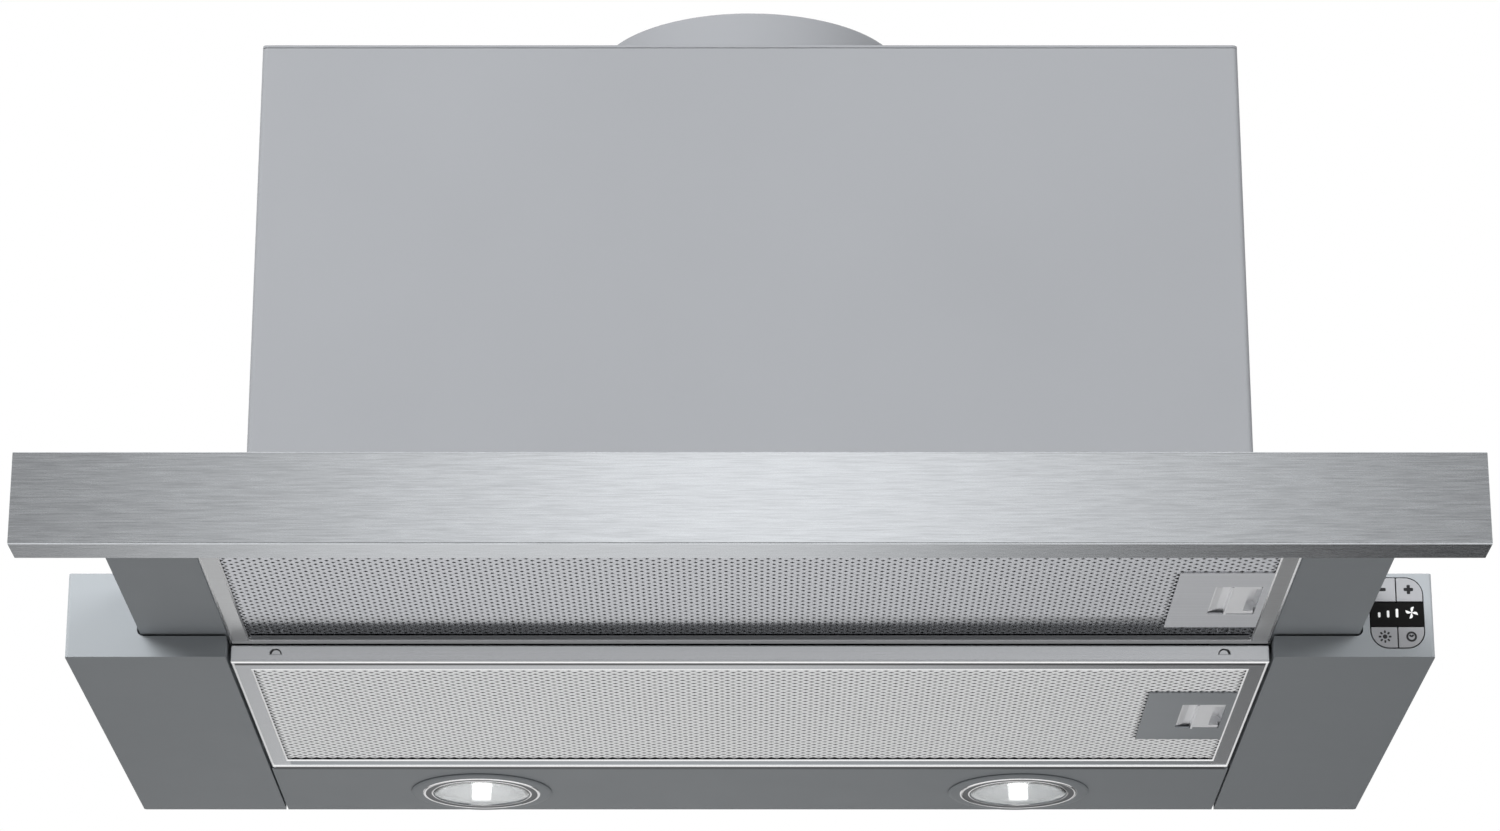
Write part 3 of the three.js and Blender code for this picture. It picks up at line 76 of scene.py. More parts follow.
class Material:
    """A node material with its Principled shader and short ways to wire it."""

    def __init__(self, name, color, roughness, metallic=0.0, **inputs):
        self.data = bpy.data.materials.new(name)
        self.data.use_nodes = True
        self.tree = self.data.node_tree
        self.shader = self.tree.nodes["Principled BSDF"]
        self.set("Base Color", (*color, 1))
        self.set("Roughness", roughness)
        self.set("Metallic", metallic)
        for key, value in inputs.items():
            self.set(key.replace("_", " "), value)

    def set(self, socket, value):
        self.shader.inputs[socket].default_value = value

    def node(self, kind, **settings):
        made = self.tree.nodes.new("ShaderNode" + kind)
        for key, value in settings.items():
            if key in made.inputs:
                made.inputs[key].default_value = value
            else:
                setattr(made, key, value)
        return made

    def link(self, source, target):
        self.tree.links.new(source, target)

    def place(self, scale=(1, 1, 1)):
        """Object coordinates, scaled. Every piece's mesh is in the part's frame, so they are metres."""
        mapping = self.node("Mapping")
        mapping.inputs["Scale"].default_value = scale
        self.link(self.node("TexCoord").outputs["Object"], mapping.inputs["Vector"])
        return mapping.outputs["Vector"]

    def noise(self, vector, scale, detail=3.0, roughness=0.5):
        texture = self.node("TexNoise", Scale=scale, Detail=detail, Roughness=roughness)
        self.link(vector, texture.inputs["Vector"])
        return texture.outputs["Fac"]

    def streaks(self, scales):
        """Fine noise, drawn out along the axis that has the smallest scale."""
        return self.noise(self.place(scales), 3.0, 3.0, 0.6)

    def voronoi(self, vector, scale, output="Color"):
        texture = self.node("TexVoronoi", Scale=scale)
        self.link(vector, texture.inputs["Vector"])
        return texture.outputs[output]

    def ribs(self, vector, pitch, direction):
        """Even waves along X, Y or Z."""
        texture = self.node("TexWave", bands_direction=direction, Scale=math.pi / 10 / pitch)
        self.link(vector, texture.inputs["Vector"])
        return texture.outputs["Fac"]

    def spread(self, value, low, high, start=0.0, end=1.0):
        """Maps start..end to low..high."""
        span = self.node("MapRange")
        for socket, number in (("From Min", start), ("From Max", end), ("To Min", low), ("To Max", high)):
            span.inputs[socket].default_value = number
        self.link(value, span.inputs["Value"])
        return span.outputs["Result"]

    def math(self, operation, one, other):
        made = self.node("Math", operation=operation)
        self.link(one, made.inputs[0])
        self.link(other, made.inputs[1])
        return made.outputs[0]

    def ramp(self, value, stops):
        ramp = self.node("ValToRGB")
        elements = ramp.color_ramp.elements
        while len(elements) < len(stops):
            elements.new(0.5)
        for element, (place, color) in zip(elements, stops):
            element.position = place
            element.color = (*color, 1)
        self.link(value, ramp.inputs["Fac"])
        return ramp.outputs["Color"]

    def tint(self, value, color, amount):
        """The base colour, varied up and down by a share."""
        low = tuple(c * (1 - amount) for c in color)
        high = tuple(min(1.0, c * (1 + amount)) for c in color)
        self.link(self.ramp(value, [(0.25, low), (0.75, high)]), self.shader.inputs["Base Color"])

    def rough(self, value, low, high):
        self.link(self.spread(value, low, high), self.shader.inputs["Roughness"])

    def bump(self, value, strength, distance, normal=None):
        bump = self.node("Bump", Strength=strength, Distance=distance)
        self.link(value, bump.inputs["Height"])
        if normal is not None:
            self.link(normal, bump.inputs["Normal"])
        self.link(bump.outputs["Normal"], self.shader.inputs["Normal"])


# ---------- Materials ----------

HEM_LEAN = math.radians(11)              # of the front faces of the filters' frames, in their shading
FRONT_FACING = -0.9                      # a face looks to the front below this normal Y
SHINY_EDGE = (-0.304, -0.29)             # where the front filter's mesh turns glossy, along Y
DULL_STRAND, SHINY_STRAND = 0.55, 0.12   # roughness before and after


def brushed_steel():
    """Stainless steel brushed along the panel: streaks about half a millimetre thick and 15 mm long."""
    color = (0.72, 0.745, 0.775)
    m = Material("brushed_steel", color, 0.26, 1.0)
    streaks = m.streaks((22, 620, 620))
    m.tint(streaks, color, 0.17)
    m.rough(streaks, 0.2, 0.32)
    m.bump(streaks, 0.1, 0.05 * MM)
    return m.data


def coated(name, color, roughness, grain=0.05):
    """Powder-coated or painted sheet, with a fine orange peel and faint clouds."""
    m = Material(name, color, roughness, Specular_IOR_Level=0.3)
    place = m.place()
    m.tint(m.noise(place, 9.0, 2.0), color, 0.02)
    m.rough(m.noise(place, 40.0, 3.0), roughness - 0.05, roughness + 0.06)
    m.bump(m.noise(place, 2600.0, 1.0), grain, 0.08 * MM)
    return m.data


def zinc_sheet():
    """Galvanised sheet with its faint crystals."""
    color = (0.62, 0.635, 0.65)
    m = Material("zinc_sheet", color, 0.42, 0.85)
    place = m.place()
    cells = m.voronoi(place, 220.0)
    m.tint(cells, color, 0.05)
    m.rough(cells, 0.38, 0.48)
    m.bump(m.noise(place, 900.0, 2.0), 0.04, 0.05 * MM)
    return m.data


def satin_aluminium(name, color, roughness, lines=(3, 500, 500), metallic=1.0):
    """Rolled sheet. Its lines run along the axis with the smallest scale, and equal scales give a grain."""
    m = Material(name, color, roughness, metallic)
    streaks = m.streaks(lines)
    m.tint(streaks, color, 0.05)
    m.rough(streaks, roughness - 0.06, roughness + 0.08)
    m.bump(streaks, 0.05, 0.04 * MM)
    return m.data


def frame_aluminium(name, color, metallic):
    """Rolled frame of a filter. Its front faces are shaded as if they leant under, like a rolled front."""
    m = Material(name, color, 0.24, metallic)
    streaks = m.streaks((3, 500, 500))
    m.tint(streaks, color, 0.05)
    m.rough(streaks, 0.17, 0.3)
    own = m.node("NewGeometry").outputs["Normal"]
    parts = m.node("SeparateXYZ")
    m.link(own, parts.inputs[0])
    facing = m.node("Math", operation="LESS_THAN")
    m.link(parts.outputs["Y"], facing.inputs[0])
    facing.inputs[1].default_value = FRONT_FACING
    lean = m.node("VectorMath", operation="SCALE")
    lean.inputs[0].default_value = (0, 0, -math.tan(HEM_LEAN))
    m.link(facing.outputs[0], lean.inputs["Scale"])
    added = m.node("VectorMath", operation="ADD")
    m.link(own, added.inputs[0])
    m.link(lean.outputs["Vector"], added.inputs[1])
    leaning = m.node("VectorMath", operation="NORMALIZE")
    m.link(added.outputs["Vector"], leaning.inputs[0])
    m.bump(streaks, 0.04, 0.04 * MM, leaning.outputs["Vector"])
    return m.data


def mesh_aluminium(name, color, edge=None):
    """Strands of the expanded mesh. They turn glossy from edge[0] to edge[1] along Y, where edge is given."""
    m = Material(name, color, 0.5, 1.0)
    place = m.place()
    m.tint(m.noise(place, 700.0, 2.0), color, 0.1)
    if edge:
        parts = m.node("SeparateXYZ")
        m.link(place, parts.inputs[0])
        gloss = m.spread(parts.outputs["Y"], DULL_STRAND, SHINY_STRAND, *edge)
        m.link(gloss, m.shader.inputs["Roughness"])
    else:
        m.rough(m.noise(place, 300.0, 2.0), DULL_STRAND, 0.7)
    return m.data


def moulded(name, color, roughness, grain_scale=1500.0, depth=0.05, **inputs):
    """Moulded plastic with a fine spark-eroded grain. More inputs go to its shader."""
    m = Material(name, color, roughness, **inputs)
    place = m.place()
    grain = m.noise(place, grain_scale, 2.0)
    m.tint(m.noise(place, 25.0, 2.0), color, 0.04)
    m.rough(grain, roughness - 0.05, roughness + 0.08)
    m.bump(grain, depth, 0.08 * MM)
    return m.data


def printed(name, color):
    """Ink of the signs, slightly uneven."""
    m = Material(name, color, 0.45)
    m.tint(m.noise(m.place(), 900.0, 2.0), color, 0.05)
    return m.data


def lens_glass():
    """Clear glass, pressed in a fine grid."""
    m = Material("lens_glass", (0.97, 0.98, 0.98), 0.04, 0.0, Transmission_Weight=1.0, IOR=1.45)
    place = m.place()
    grid = m.math("ADD", m.ribs(place, 0.9 * MM, "X"), m.ribs(place, 1.8 * MM, "Y"))
    m.bump(grid, 0.08, 0.2 * MM)
    return m.data


def bright_reflector():
    m = Material("bright_reflector", (0.93, 0.94, 0.95), 0.05, 0.65)
    m.rough(m.noise(m.place(), 700.0, 2.0), 0.03, 0.08)
    return m.data


def frosted_bulb():
    m = Material("frosted_bulb", (0.98, 0.98, 0.97), 0.4)
    m.set("Emission Color", (1.0, 1.0, 0.98, 1))
    m.set("Emission Strength", 3.0)
    m.rough(m.noise(m.place(), 800.0, 2.0), 0.35, 0.5)
    return m.data


def circuit_board():
    color = (0.045, 0.17, 0.08)
    m = Material("circuit_board", color, 0.35)
    m.tint(m.voronoi(m.place(), 500.0, "Distance"), color, 0.35)
    return m.data


def pad_painted_shade():
    """The deeper layers of expanded mesh, darkened as painted shade: dim strands over near-black openings,
    which are painted shade inside the pad.
    """
    shaded_strand, opening_shade = (0.3, 0.305, 0.315), (0.035, 0.036, 0.038)
    m = Material("pad_painted_shade", shaded_strand, 0.6, 0.4)
    cells = m.voronoi(m.place(), 420.0, "Distance")
    m.link(m.ramp(cells, [(0.2, shaded_strand), (0.6, opening_shade)]), m.shader.inputs["Base Color"])
    m.bump(cells, 0.6, 0.6 * MM)
    return m.data


STEEL = brushed_steel()
GREY_COAT = coated("grey_coat", (0.325, 0.348, 0.368), 0.5)
CASING_GREY = coated("casing_grey", (0.252, 0.26, 0.275), 0.62, 0.07)
ZINC = zinc_sheet()
RUNNER = satin_aluminium("runner_steel", (0.6, 0.61, 0.62), 0.25, (500, 3, 500))
# the front frame is the rear frame's aluminium made lighter and more diffuse: painted light
FRONT_FRAME = frame_aluminium("front_frame_aluminium", (0.85, 0.86, 0.875), 0.5)
REAR_FRAME = frame_aluminium("rear_frame_aluminium", (0.66, 0.675, 0.7), 0.8)
MESH_METALS = {
    # the front mesh is the rear mesh's aluminium made darker: painted shade
    "front_filter": mesh_aluminium("front_mesh_shaded_aluminium", (0.77, 0.78, 0.81), SHINY_EDGE),
    "rear_filter": mesh_aluminium("rear_mesh_aluminium", (0.97, 0.975, 0.985)),
}
# the two latch plates are one metal: the front one made lighter and the rear one darker, painted light and
# shade
FRONT_PLATE = satin_aluminium("front_plate", (0.72, 0.73, 0.755), 0.5, (4, 300, 300))
REAR_PLATE = satin_aluminium("rear_plate", (0.45, 0.475, 0.5), 0.4, (4, 300, 300))
HEM_METAL = satin_aluminium("hem_aluminium", (0.97, 0.975, 0.985), 0.17, (300, 300, 300), 0.9)
# near-black metal painted as the shade behind hems and in the gap before the lamp panel
FOLD_SHADE = satin_aluminium("fold_shade_aluminium", (0.09, 0.092, 0.096), 0.4)
# dark metal painted as the shade along the front filter's back bar
BACK_BAR_SHADE = satin_aluminium("back_bar_shade_aluminium", (0.27, 0.275, 0.285), 0.4)
# the pad's layers are the mesh's aluminium made dark: painted shade
PAD_SHADE = pad_painted_shade()
# dark ring between the lamp's beads: painted shade of a recess in the trim's grey coat
RECESS_SHADE = moulded("lamp_recess_shade", (0.15, 0.155, 0.165), 0.45)
LATCH_PLASTIC = moulded("latch_plastic", (0.93, 0.935, 0.95), 0.5, metallic=0.85)
DARK_PLASTIC = moulded("dark_plastic", (0.022, 0.023, 0.025), 0.5)
FAN_PLASTIC = moulded("fan_plastic", (0.3, 0.31, 0.33), 0.4)
KEY_PLASTIC = moulded("key_plastic", (0.31, 0.315, 0.33), 0.42)
DISPLAY = moulded("display_black", (0.006, 0.006, 0.006), 0.3, 900.0, 0.01, Specular_IOR_Level=0.15)
BLACK_INK = printed("black_ink", (0.012, 0.012, 0.014))
WHITE_INK = printed("white_ink", (0.92, 0.92, 0.92))
BOARD = circuit_board()
GLASS = lens_glass()
REFLECTOR = bright_reflector()
BULB = frosted_bulb()

NODE_LOOKS = {
    STEEL: ["front_panel"],
    GREY_COAT: ["left_wing_cover", "right_wing_cover", "lamp_panel", "left_arm", "right_arm"],
    CASING_GREY: ["casing_body", "casing_top"],
    ZINC: ["base_plate", "back_panel", "left_rail_bracket", "right_rail_bracket", "visor_tray",
           "fan_motor", "motor_bracket"],
    RUNNER: ["left_outer_rail", "right_outer_rail", "left_middle_rail", "right_middle_rail",
             "left_inner_rail", "right_inner_rail", "flap_pin",
             "front_filter_latch_spring", "rear_filter_latch_spring"],
    FRONT_FRAME: ["front_filter_frame"],
    REAR_FRAME: ["rear_filter_frame"],
    FRONT_PLATE: ["front_filter_latch_plate"],
    REAR_PLATE: ["rear_filter_latch_plate"],
    LATCH_PLASTIC: ["front_filter_latch_handle", "rear_filter_latch_handle"],
    DARK_PLASTIC: ["panel_backing", "terminal_box", "cable_gland", "fan_housing_left", "fan_housing_right",
                   "outlet_adapter", "front_flap", "rear_flap", "control_carrier"],
    FAN_PLASTIC: ["impeller_cage", "impeller_hub"],
    KEY_PLASTIC: ["minus_button", "plus_button", "light_button", "timer_button"],
    DISPLAY: ["display_window"],
    BOARD: ["control_board"],
    BULB: ["left_lamp_bulb", "right_lamp_bulb"],
}

# Edge rounding in millimetres, and the nodes that get it.
EDGE_SIZES = {
    0.35: ["left_wing_cover", "right_wing_cover", "left_arm", "right_arm", "casing_body", "casing_top",
           "lamp_panel"],
    0.5: ["front_panel"],
    0.4: ["front_filter_frame", "rear_filter_frame"],
    0.25: ["minus_button", "plus_button", "light_button", "timer_button",
           "front_filter_latch_handle", "rear_filter_latch_handle"],
}
WELD_REACH = 0.005 * MM
SHARP_EDGE = math.radians(40)
SMOOTH_LIMIT = math.radians(35)


def dress(node, material):
    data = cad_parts[node].data
    data.materials.clear()
    data.materials.append(material)


def soften(node, size):
    """Rounds a node's sharp edges. Its own vertices stay as they are."""
    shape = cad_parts[node]
    weld = shape.modifiers.new("weld", "WELD")
    weld.merge_threshold = WELD_REACH
    bevel = shape.modifiers.new("edges", "BEVEL")
    bevel.width = size * MM
    bevel.segments = 2
    bevel.limit_method = "ANGLE"
    bevel.angle_limit = SHARP_EDGE
    bevel.use_clamp_overlap = True


def dress_nodes():
    for material, nodes in NODE_LOOKS.items():
        for node in nodes:
            dress(node, material)
    for size, nodes in EDGE_SIZES.items():
        for node in nodes:
            soften(node, size)


# ---------- Mesh helpers ----------

SAME_POINT = 1e-7


def circle(radius, steps):
    angles = [2 * math.pi * i / steps for i in range(steps)]
    return [(radius * math.cos(angle), radius * math.sin(angle)) for angle in angles]


def band(first, second, count):
    """Faces between two closed rings of points. Each ring starts at its place in the list of points."""
    return [(first + i, first + (i + 1) % count, second + (i + 1) % count, second + i) for i in range(count)]


def prism(first, count):
    """Faces of a flat shape: its front outline starts at place first, and its back outline follows."""
    front = tuple(first + i for i in range(count))
    back = tuple(first + count + i for i in reversed(range(count)))
    edge = [(first + (i + 1) % count, first + i, first + count + i, first + count + (i + 1) % count)
            for i in range(count)]
    return [front, back, *edge]


def add_piece(name, vertices, faces, materials, body, looks=None, smooth=False):
    """A piece from vertices and faces. Looks gives each face's place in the list of materials."""
    data = bpy.data.meshes.new(name)
    data.from_pydata([tuple(v) for v in vertices], [], [tuple(f) for f in faces])
    for material in materials:
        data.materials.append(material)
    if looks is not None:
        data.polygons.foreach_set("material_index", np.asarray(looks, np.int32))
    # points of a turned profile that lie on its axis fall together
    mesh = bmesh.new()
    mesh.from_mesh(data)
    bmesh.ops.remove_doubles(mesh, verts=mesh.verts, dist=SAME_POINT)
    mesh.to_mesh(data)
    mesh.free()
    if smooth:
        data.shade_smooth()
        data.set_sharp_from_angle(angle=SMOOTH_LIMIT)
    piece = bpy.data.objects.new(name, data)
    bpy.context.scene.collection.objects.link(piece)
    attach(piece, body)
    return piece


def lathe(profile, steps, centre, axis=(0, 0, 1)):
    """Vertices and faces of a closed [radius, height] profile turned about an axis through centre."""
    turn = Vector((0, 0, 1)).rotation_difference(Vector(axis)).to_matrix()
    vertices = [turn @ Vector((*spot, height)) + Vector(centre)
                for radius, height in profile for spot in circle(radius, steps)]
    faces = []
    for j in range(len(profile)):
        faces += band(j * steps, (j + 1) % len(profile) * steps, steps)
    return vertices, faces


# ---------- Expanded mesh of the grease filters ----------

MESH_PITCH = 5.0 * MM                    # a diamond's width and length
OPENING_SHARES = {"front_filter": 0.4, "rear_filter": 0.56}              # of a diamond's width
STRAND_TILTS = {"front_filter": -0.02 * MM, "rear_filter": 0.14 * MM}    # above 0 they face the front
MESH_LEVEL = 0.86 * MM                   # above the filter's underside
PAD_LEVEL = 2.2 * MM                     # the same for the layers over it, darkened as painted shade
LIP_COVER = 1.0 * MM                     # mesh edge hidden under the frame
HINGE_TAB = 5 * MM                       # reach of the frame's hinge tabs beyond its left side
FRAME_FOLD = 1.1 * MM                    # pad edge to the frame's outer face
PLATE_MARGIN = 0.4 * MM                  # of the cut-out round the latch plate
SIDE_BAR = 8 * MM
# widths of the front and the back bar
END_BARS = {"front_filter": (12.6 * MM, 3 * MM), "rear_filter": (12.6 * MM, 14.5 * MM)}


def diamonds(x, y, z, hole, share, tilt):
    """One sheet of expanded metal between x[0]..x[1] and y[0]..y[1], without the diamonds in hole."""
    columns, rows = (int((side[1] - side[0]) / MESH_PITCH) for side in (x, y))
    start = np.array([x[0] + x[1] - columns * MESH_PITCH, y[0] + y[1] - rows * MESH_PITCH]) / 2
    cells = np.array([(i, j) for j in range(1, 2 * rows)
                      for i in range(1, 2 * columns) if (i + j) % 2 == 0])
    centre = start + cells * MESH_PITCH / 2
    inside = ((centre[:, 0] > hole[0][0]) & (centre[:, 0] < hole[0][1])
              & (centre[:, 1] > hole[1][0]) & (centre[:, 1] < hole[1][1]))
    cells, centre = cells[~inside], centre[~inside]
    # outer corners are shared by the four diamonds around them
    around = np.array([(-1, 0), (0, -1), (1, 0), (0, 1)])
    keys = (cells[:, None, :] + around[None]).reshape(-1, 2)
    unique, index = np.unique(keys, axis=0, return_inverse=True)
    index = index.reshape(-1, 4)
    outer = np.column_stack([start + unique * MESH_PITCH / 2, np.full(len(unique), z)])
    inner = np.empty((len(cells), 4, 3))
    inner[:, :, :2] = centre[:, None, :] + around[None] * MESH_PITCH / 2 * share
    inner[:, :, 2] = z + np.array([0, -tilt, 0, tilt])
    own = len(outer) + np.arange(len(cells) * 4).reshape(-1, 4)
    quads = [np.column_stack([index[:, a], own[:, a], own[:, b], index[:, b]])
             for a, b in ((0, 1), (1, 2), (2, 3), (3, 0))]
    return np.vstack([outer, inner.reshape(-1, 3)]), np.vstack(quads)


def filter_mesh(name):
    """Stands for the filter's pad: a sheet of expanded metal under a block of layers darkened as painted
    shade.
    """
    low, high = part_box(f"{name}_mesh")
    frame_low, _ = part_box(f"{name}_frame")
    plate_low, plate_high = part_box(f"{name}_latch_plate")
    hole = ((plate_low.x - PLATE_MARGIN, high.x),
            (plate_low.y - PLATE_MARGIN, plate_high.y + PLATE_MARGIN))
    front_bar, back_bar = END_BARS[name]
    side = SIDE_BAR - LIP_COVER
    x = (frame_low.x + HINGE_TAB + side, high.x + FRAME_FOLD - side)
    y = (low.y - FRAME_FOLD + front_bar - LIP_COVER, high.y + FRAME_FOLD - back_bar + LIP_COVER)
    level = frame_low.z + MESH_LEVEL
    vertices, faces = diamonds(x, y, level, hole, OPENING_SHARES[name], STRAND_TILTS[name])
    # the pad, with room for the latch
    outline = [(low.x, low.y), (high.x, low.y), (high.x, hole[1][0]), (hole[0][0], hole[1][0]),
               (hole[0][0], hole[1][1]), (high.x, hole[1][1]), (high.x, high.y), (low.x, high.y)]
    first, count = len(vertices), len(outline)
    pad = [(px, py, pz) for pz in (frame_low.z + PAD_LEVEL, high.z) for px, py in outline]
    sides = band(first, first + count, count)
    bottom = tuple(first + i for i in reversed(range(count)))
    top = tuple(first + count + i for i in range(count))
    looks = [0] * len(faces) + [1] * (count + 2)
    piece = add_piece(f"{name}_mesh_layers", np.vstack([vertices, pad]),
                      [*faces.tolist(), *sides, bottom, top], [MESH_METALS[name], PAD_SHADE], name, looks)
    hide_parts(f"{name}_mesh")


# ---------- Rolled hems of the filter frames ----------

HEM_RADIUS = 0.6 * MM                    # from the bar's middle to its corners
HEM_SIDES = 4
INNER_HEM_RISE = 0.3 * MM
FRONT_FILTER_BACK_HEM = 1.45 * MM        # inner hem to the filter's back edge
REAR_FILTER_BACK_HEM = 5.1 * MM          # outer hem to the filter's back edge


def rim(corners, level):
    """A square bar along a rectangle, with mitred corners. Its flats lean by 45 degrees."""
    middle = [sum(c[i] for c in corners) / 4 for i in (0, 1)]
    vertices = []
    for x, y in corners:
        out_x, out_y = math.copysign(1, x - middle[0]), math.copysign(1, y - middle[1])
        vertices += [(x + out_x * across, y + out_y * across, level + up)
                     for across, up in circle(HEM_RADIUS, HEM_SIDES)]
    faces = []
    for corner in range(4):
        here, there = corner * HEM_SIDES, (corner + 1) % 4 * HEM_SIDES
        for i in range(HEM_SIDES):
            n = (i + 1) % HEM_SIDES
            faces.append((here + i, there + i, there + n, here + n))
    return vertices, faces


def hems(name):
    """Rolled edges round the outside of a filter's frame and round its opening: bright, but painted shade
    along the front filter's back bar.
    """
    low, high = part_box(f"{name}_mesh")
    frame_low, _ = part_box(f"{name}_frame")
    front_bar, back_bar = END_BARS[name]
    x = (frame_low.x + HINGE_TAB, high.x + FRAME_FOLD)
    y = (low.y - FRAME_FOLD, high.y + FRAME_FOLD)
    outer_back, back_metal = REAR_FILTER_BACK_HEM, HEM_METAL
    # the front filter's back hems take a darker metal: painted shade along its back bar
    if name == "front_filter":
        outer_back, back_bar, back_metal = HEM_RADIUS, FRONT_FILTER_BACK_HEM, BACK_BAR_SHADE
    for label, side, front, back, rise in (("outer", HEM_RADIUS, HEM_RADIUS, outer_back, 0),
                                           ("inner", SIDE_BAR, front_bar, back_bar, INNER_HEM_RISE)):
        x0, x1, y0, y1 = x[0] + side, x[1] - side, y[0] + front, y[1] - back
        vertices, faces = rim([(x0, y0), (x1, y0), (x1, y1), (x0, y1)], frame_low.z + rise)
        # front, right, back, left
        looks = np.repeat([0, 0, 1, 0], HEM_SIDES)
        piece = add_piece(f"{name}_{label}_hem", vertices, faces, [HEM_METAL, back_metal], name, looks)


# ---------- Painted shade beside the hems ---

FOLD_START = 2.2 * MM                    # from a hem's middle. A hem hides what lies closer behind it
FOLD_WIDTH = 3.0 * MM
GROOVE_WIDTH = 5.0 * MM
PANEL_SEAM = 1.5 * MM
FOLD_SKIN = 0.05 * MM                    # half its thickness
SHADE_DEPTH = 6.5 * MM                   # strip of painted shade in front of the front filter's back bar
FOLD_INSET = 1.5 * MM                    # a fold's ends to the frame's sides
SEAM_INSET = 1 * MM                      # the seam's ends to the lamp panel's sides
EDGE_GAP = 0.1 * MM                      # a strip's side to the edge of its sheet


def shade_strip(name, x, y, level, material, body):
    """A thin flat strip along X, darker than the sheet round it: painted shade where the sheet folds, is
    pressed in or meets the next part.
    """
    corners = [(x[0], y[0]), (x[1], y[0]), (x[1], y[1]), (x[0], y[1])]
    vertices = [(px, py, level + side * FOLD_SKIN) for side in (-1, 1) for px, py in corners]
    faces = [(3, 2, 1, 0), (4, 5, 6, 7)] + band(0, 4, 4)
    add_piece(name, vertices, faces, [material], body)


def shade_strips():
    """Strips of painted shade: behind the front hem of both filters, beside their back bars, and where the
    lamp panel starts.
    """
    for name in ("front_filter", "rear_filter"):
        low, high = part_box(f"{name}_mesh")
        frame_low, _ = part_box(f"{name}_frame")
        x = (frame_low.x + HINGE_TAB + FOLD_INSET, high.x + FRAME_FOLD - FOLD_INSET)
        inner = (x[0] + SIDE_BAR, x[1] - SIDE_BAR)
        # painted shade behind the front hem of each filter
        front = low.y - FRAME_FOLD + HEM_RADIUS + FOLD_START
        shade_strip(f"{name}_front_fold_shade", x, (front, front + FOLD_WIDTH), frame_low.z, FOLD_SHADE, name)
        edge = high.y + FRAME_FOLD
        back = edge - END_BARS[name][1]
        if name == "rear_filter":
            # a darker strip of the rear plate's metal: painted shade of a pressed line in the back bar
            groove_shade_span = (back + FOLD_START, back + FOLD_START + GROOVE_WIDTH)
            shade_strip("rear_filter_back_groove_shade", inner, groove_shade_span, frame_low.z, REAR_PLATE, name)
            # painted shade between the back hem and the back edge
            fold_shade_span = (edge - REAR_FILTER_BACK_HEM + FOLD_START, edge - EDGE_GAP)
            shade_strip("rear_filter_back_fold_shade", x, fold_shade_span, frame_low.z, FOLD_SHADE, name)
        else:
            # painted shade across the mesh before the back bar
            shade = (back - SHADE_DEPTH, back)
            shade_strip("front_filter_back_shade", inner, shade, frame_low.z + MESH_LEVEL / 2, BACK_BAR_SHADE, name)
    # painted shade of the gap where the rear filter meets the lamp panel
    panel_low, panel_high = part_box("lamp_panel")
    shade_strip("lamp_panel_seam_shade", (panel_low.x + SEAM_INSET, panel_high.x - SEAM_INSET),
           (panel_low.y + EDGE_GAP, panel_low.y + PANEL_SEAM), panel_low.z, FOLD_SHADE, "root")


# ---------- Pressed marks in the rear filter's front ----------

DIMPLE_RADIUS = 1.95 * MM                # smaller than the cut-out, so that a dark crescent stays
DIMPLE_INSET = 19.9 * MM                 # to the filter's side
DIMPLE_RISE = 3.3 * MM                   # above the filter's underside
DIMPLE_DEPTH = 0.35 * MM
DIMPLE_SHEET = 0.4 * MM
DIMPLE_STEPS = 16


def dimple_tab(side):
    """The half-round tab pressed inwards from the cut-out's straight edge."""
    low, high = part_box("rear_filter_frame")
    x = side * (high.x - DIMPLE_INSET)
    z = low.z + DIMPLE_RISE
    half_round = circle(DIMPLE_RADIUS, 2 * DIMPLE_STEPS)[:DIMPLE_STEPS + 1]
    levels = (low.y + DIMPLE_DEPTH, low.y + DIMPLE_DEPTH + DIMPLE_SHEET)
    vertices = [(x + across, y, z + up) for y in levels for across, up in half_round]
    faces = prism(0, len(half_round))
    name = f"{'right' if side > 0 else 'left'}_dimple_tab"
    add_piece(name, vertices, faces, [REAR_FRAME], "rear_filter")


# ---------- Lamps ----------

LAMP_STEPS = 96
LAMP_LEVEL = 1.7 * MM                    # height 0 of the profiles, above the ring's underside
# profiles of [radius, height] in millimetres
TRIM_PROFILE = [
    (23.45, -1.15), (23.55, -1.36), (23.9, -1.4), (24.3, -1.3), (24.35, -1.25), (26.9, -1.25),
    (27.1, -1.42), (27.45, -1.52), (27.95, -1.52), (28.3, -1.4), (28.5, -1.12),
    (30, -1.1), (32.6, -1.0), (33.6, -0.85), (34, -0.5), (34, -0.3), (28.3, -0.3),
    (28.3, 12), (27, 12), (27, 2), (24.2, 2), (23.45, 0.8),
]
LENS_PROFILE = [
    (0, -1.25), (12, -1.24), (20, -1.2), (22.9, -1.15), (23.35, -0.9), (23.35, 0.5), (0, 0.5),
]
MIRROR_PROFILE = [
    (25.2, 2.3), (26.7, 2.3), (26.7, 3.6), (26, 14), (22, 18.5), (12, 21), (6.5, 21.5),
    (5.2, 21.5), (5.2, 20.5), (11, 20), (20.5, 17.5), (24.4, 13.5), (24.4, 3.4),
]
BEADS = ((23.5, 24.32), (26.95, 28.45))  # bright lines round the lamp, from and to these radii
RECESS_SHADE_EDGE = 26.95                       # the ring of painted shade between them ends here
FLANGE_HEIGHT = -1                       # the trim is coated from this height up


def lamp_look(radius, height):
    """Material of the trim from this point of its profile on: 0 coat, 1 bright bead, 2 painted shade of the
    recess between the beads.
    """
    if height >= FLANGE_HEIGHT:
        return 0
    if any(start < radius < end for start, end in BEADS):
        return 1
    return 2 if radius < RECESS_SHADE_EDGE else 0


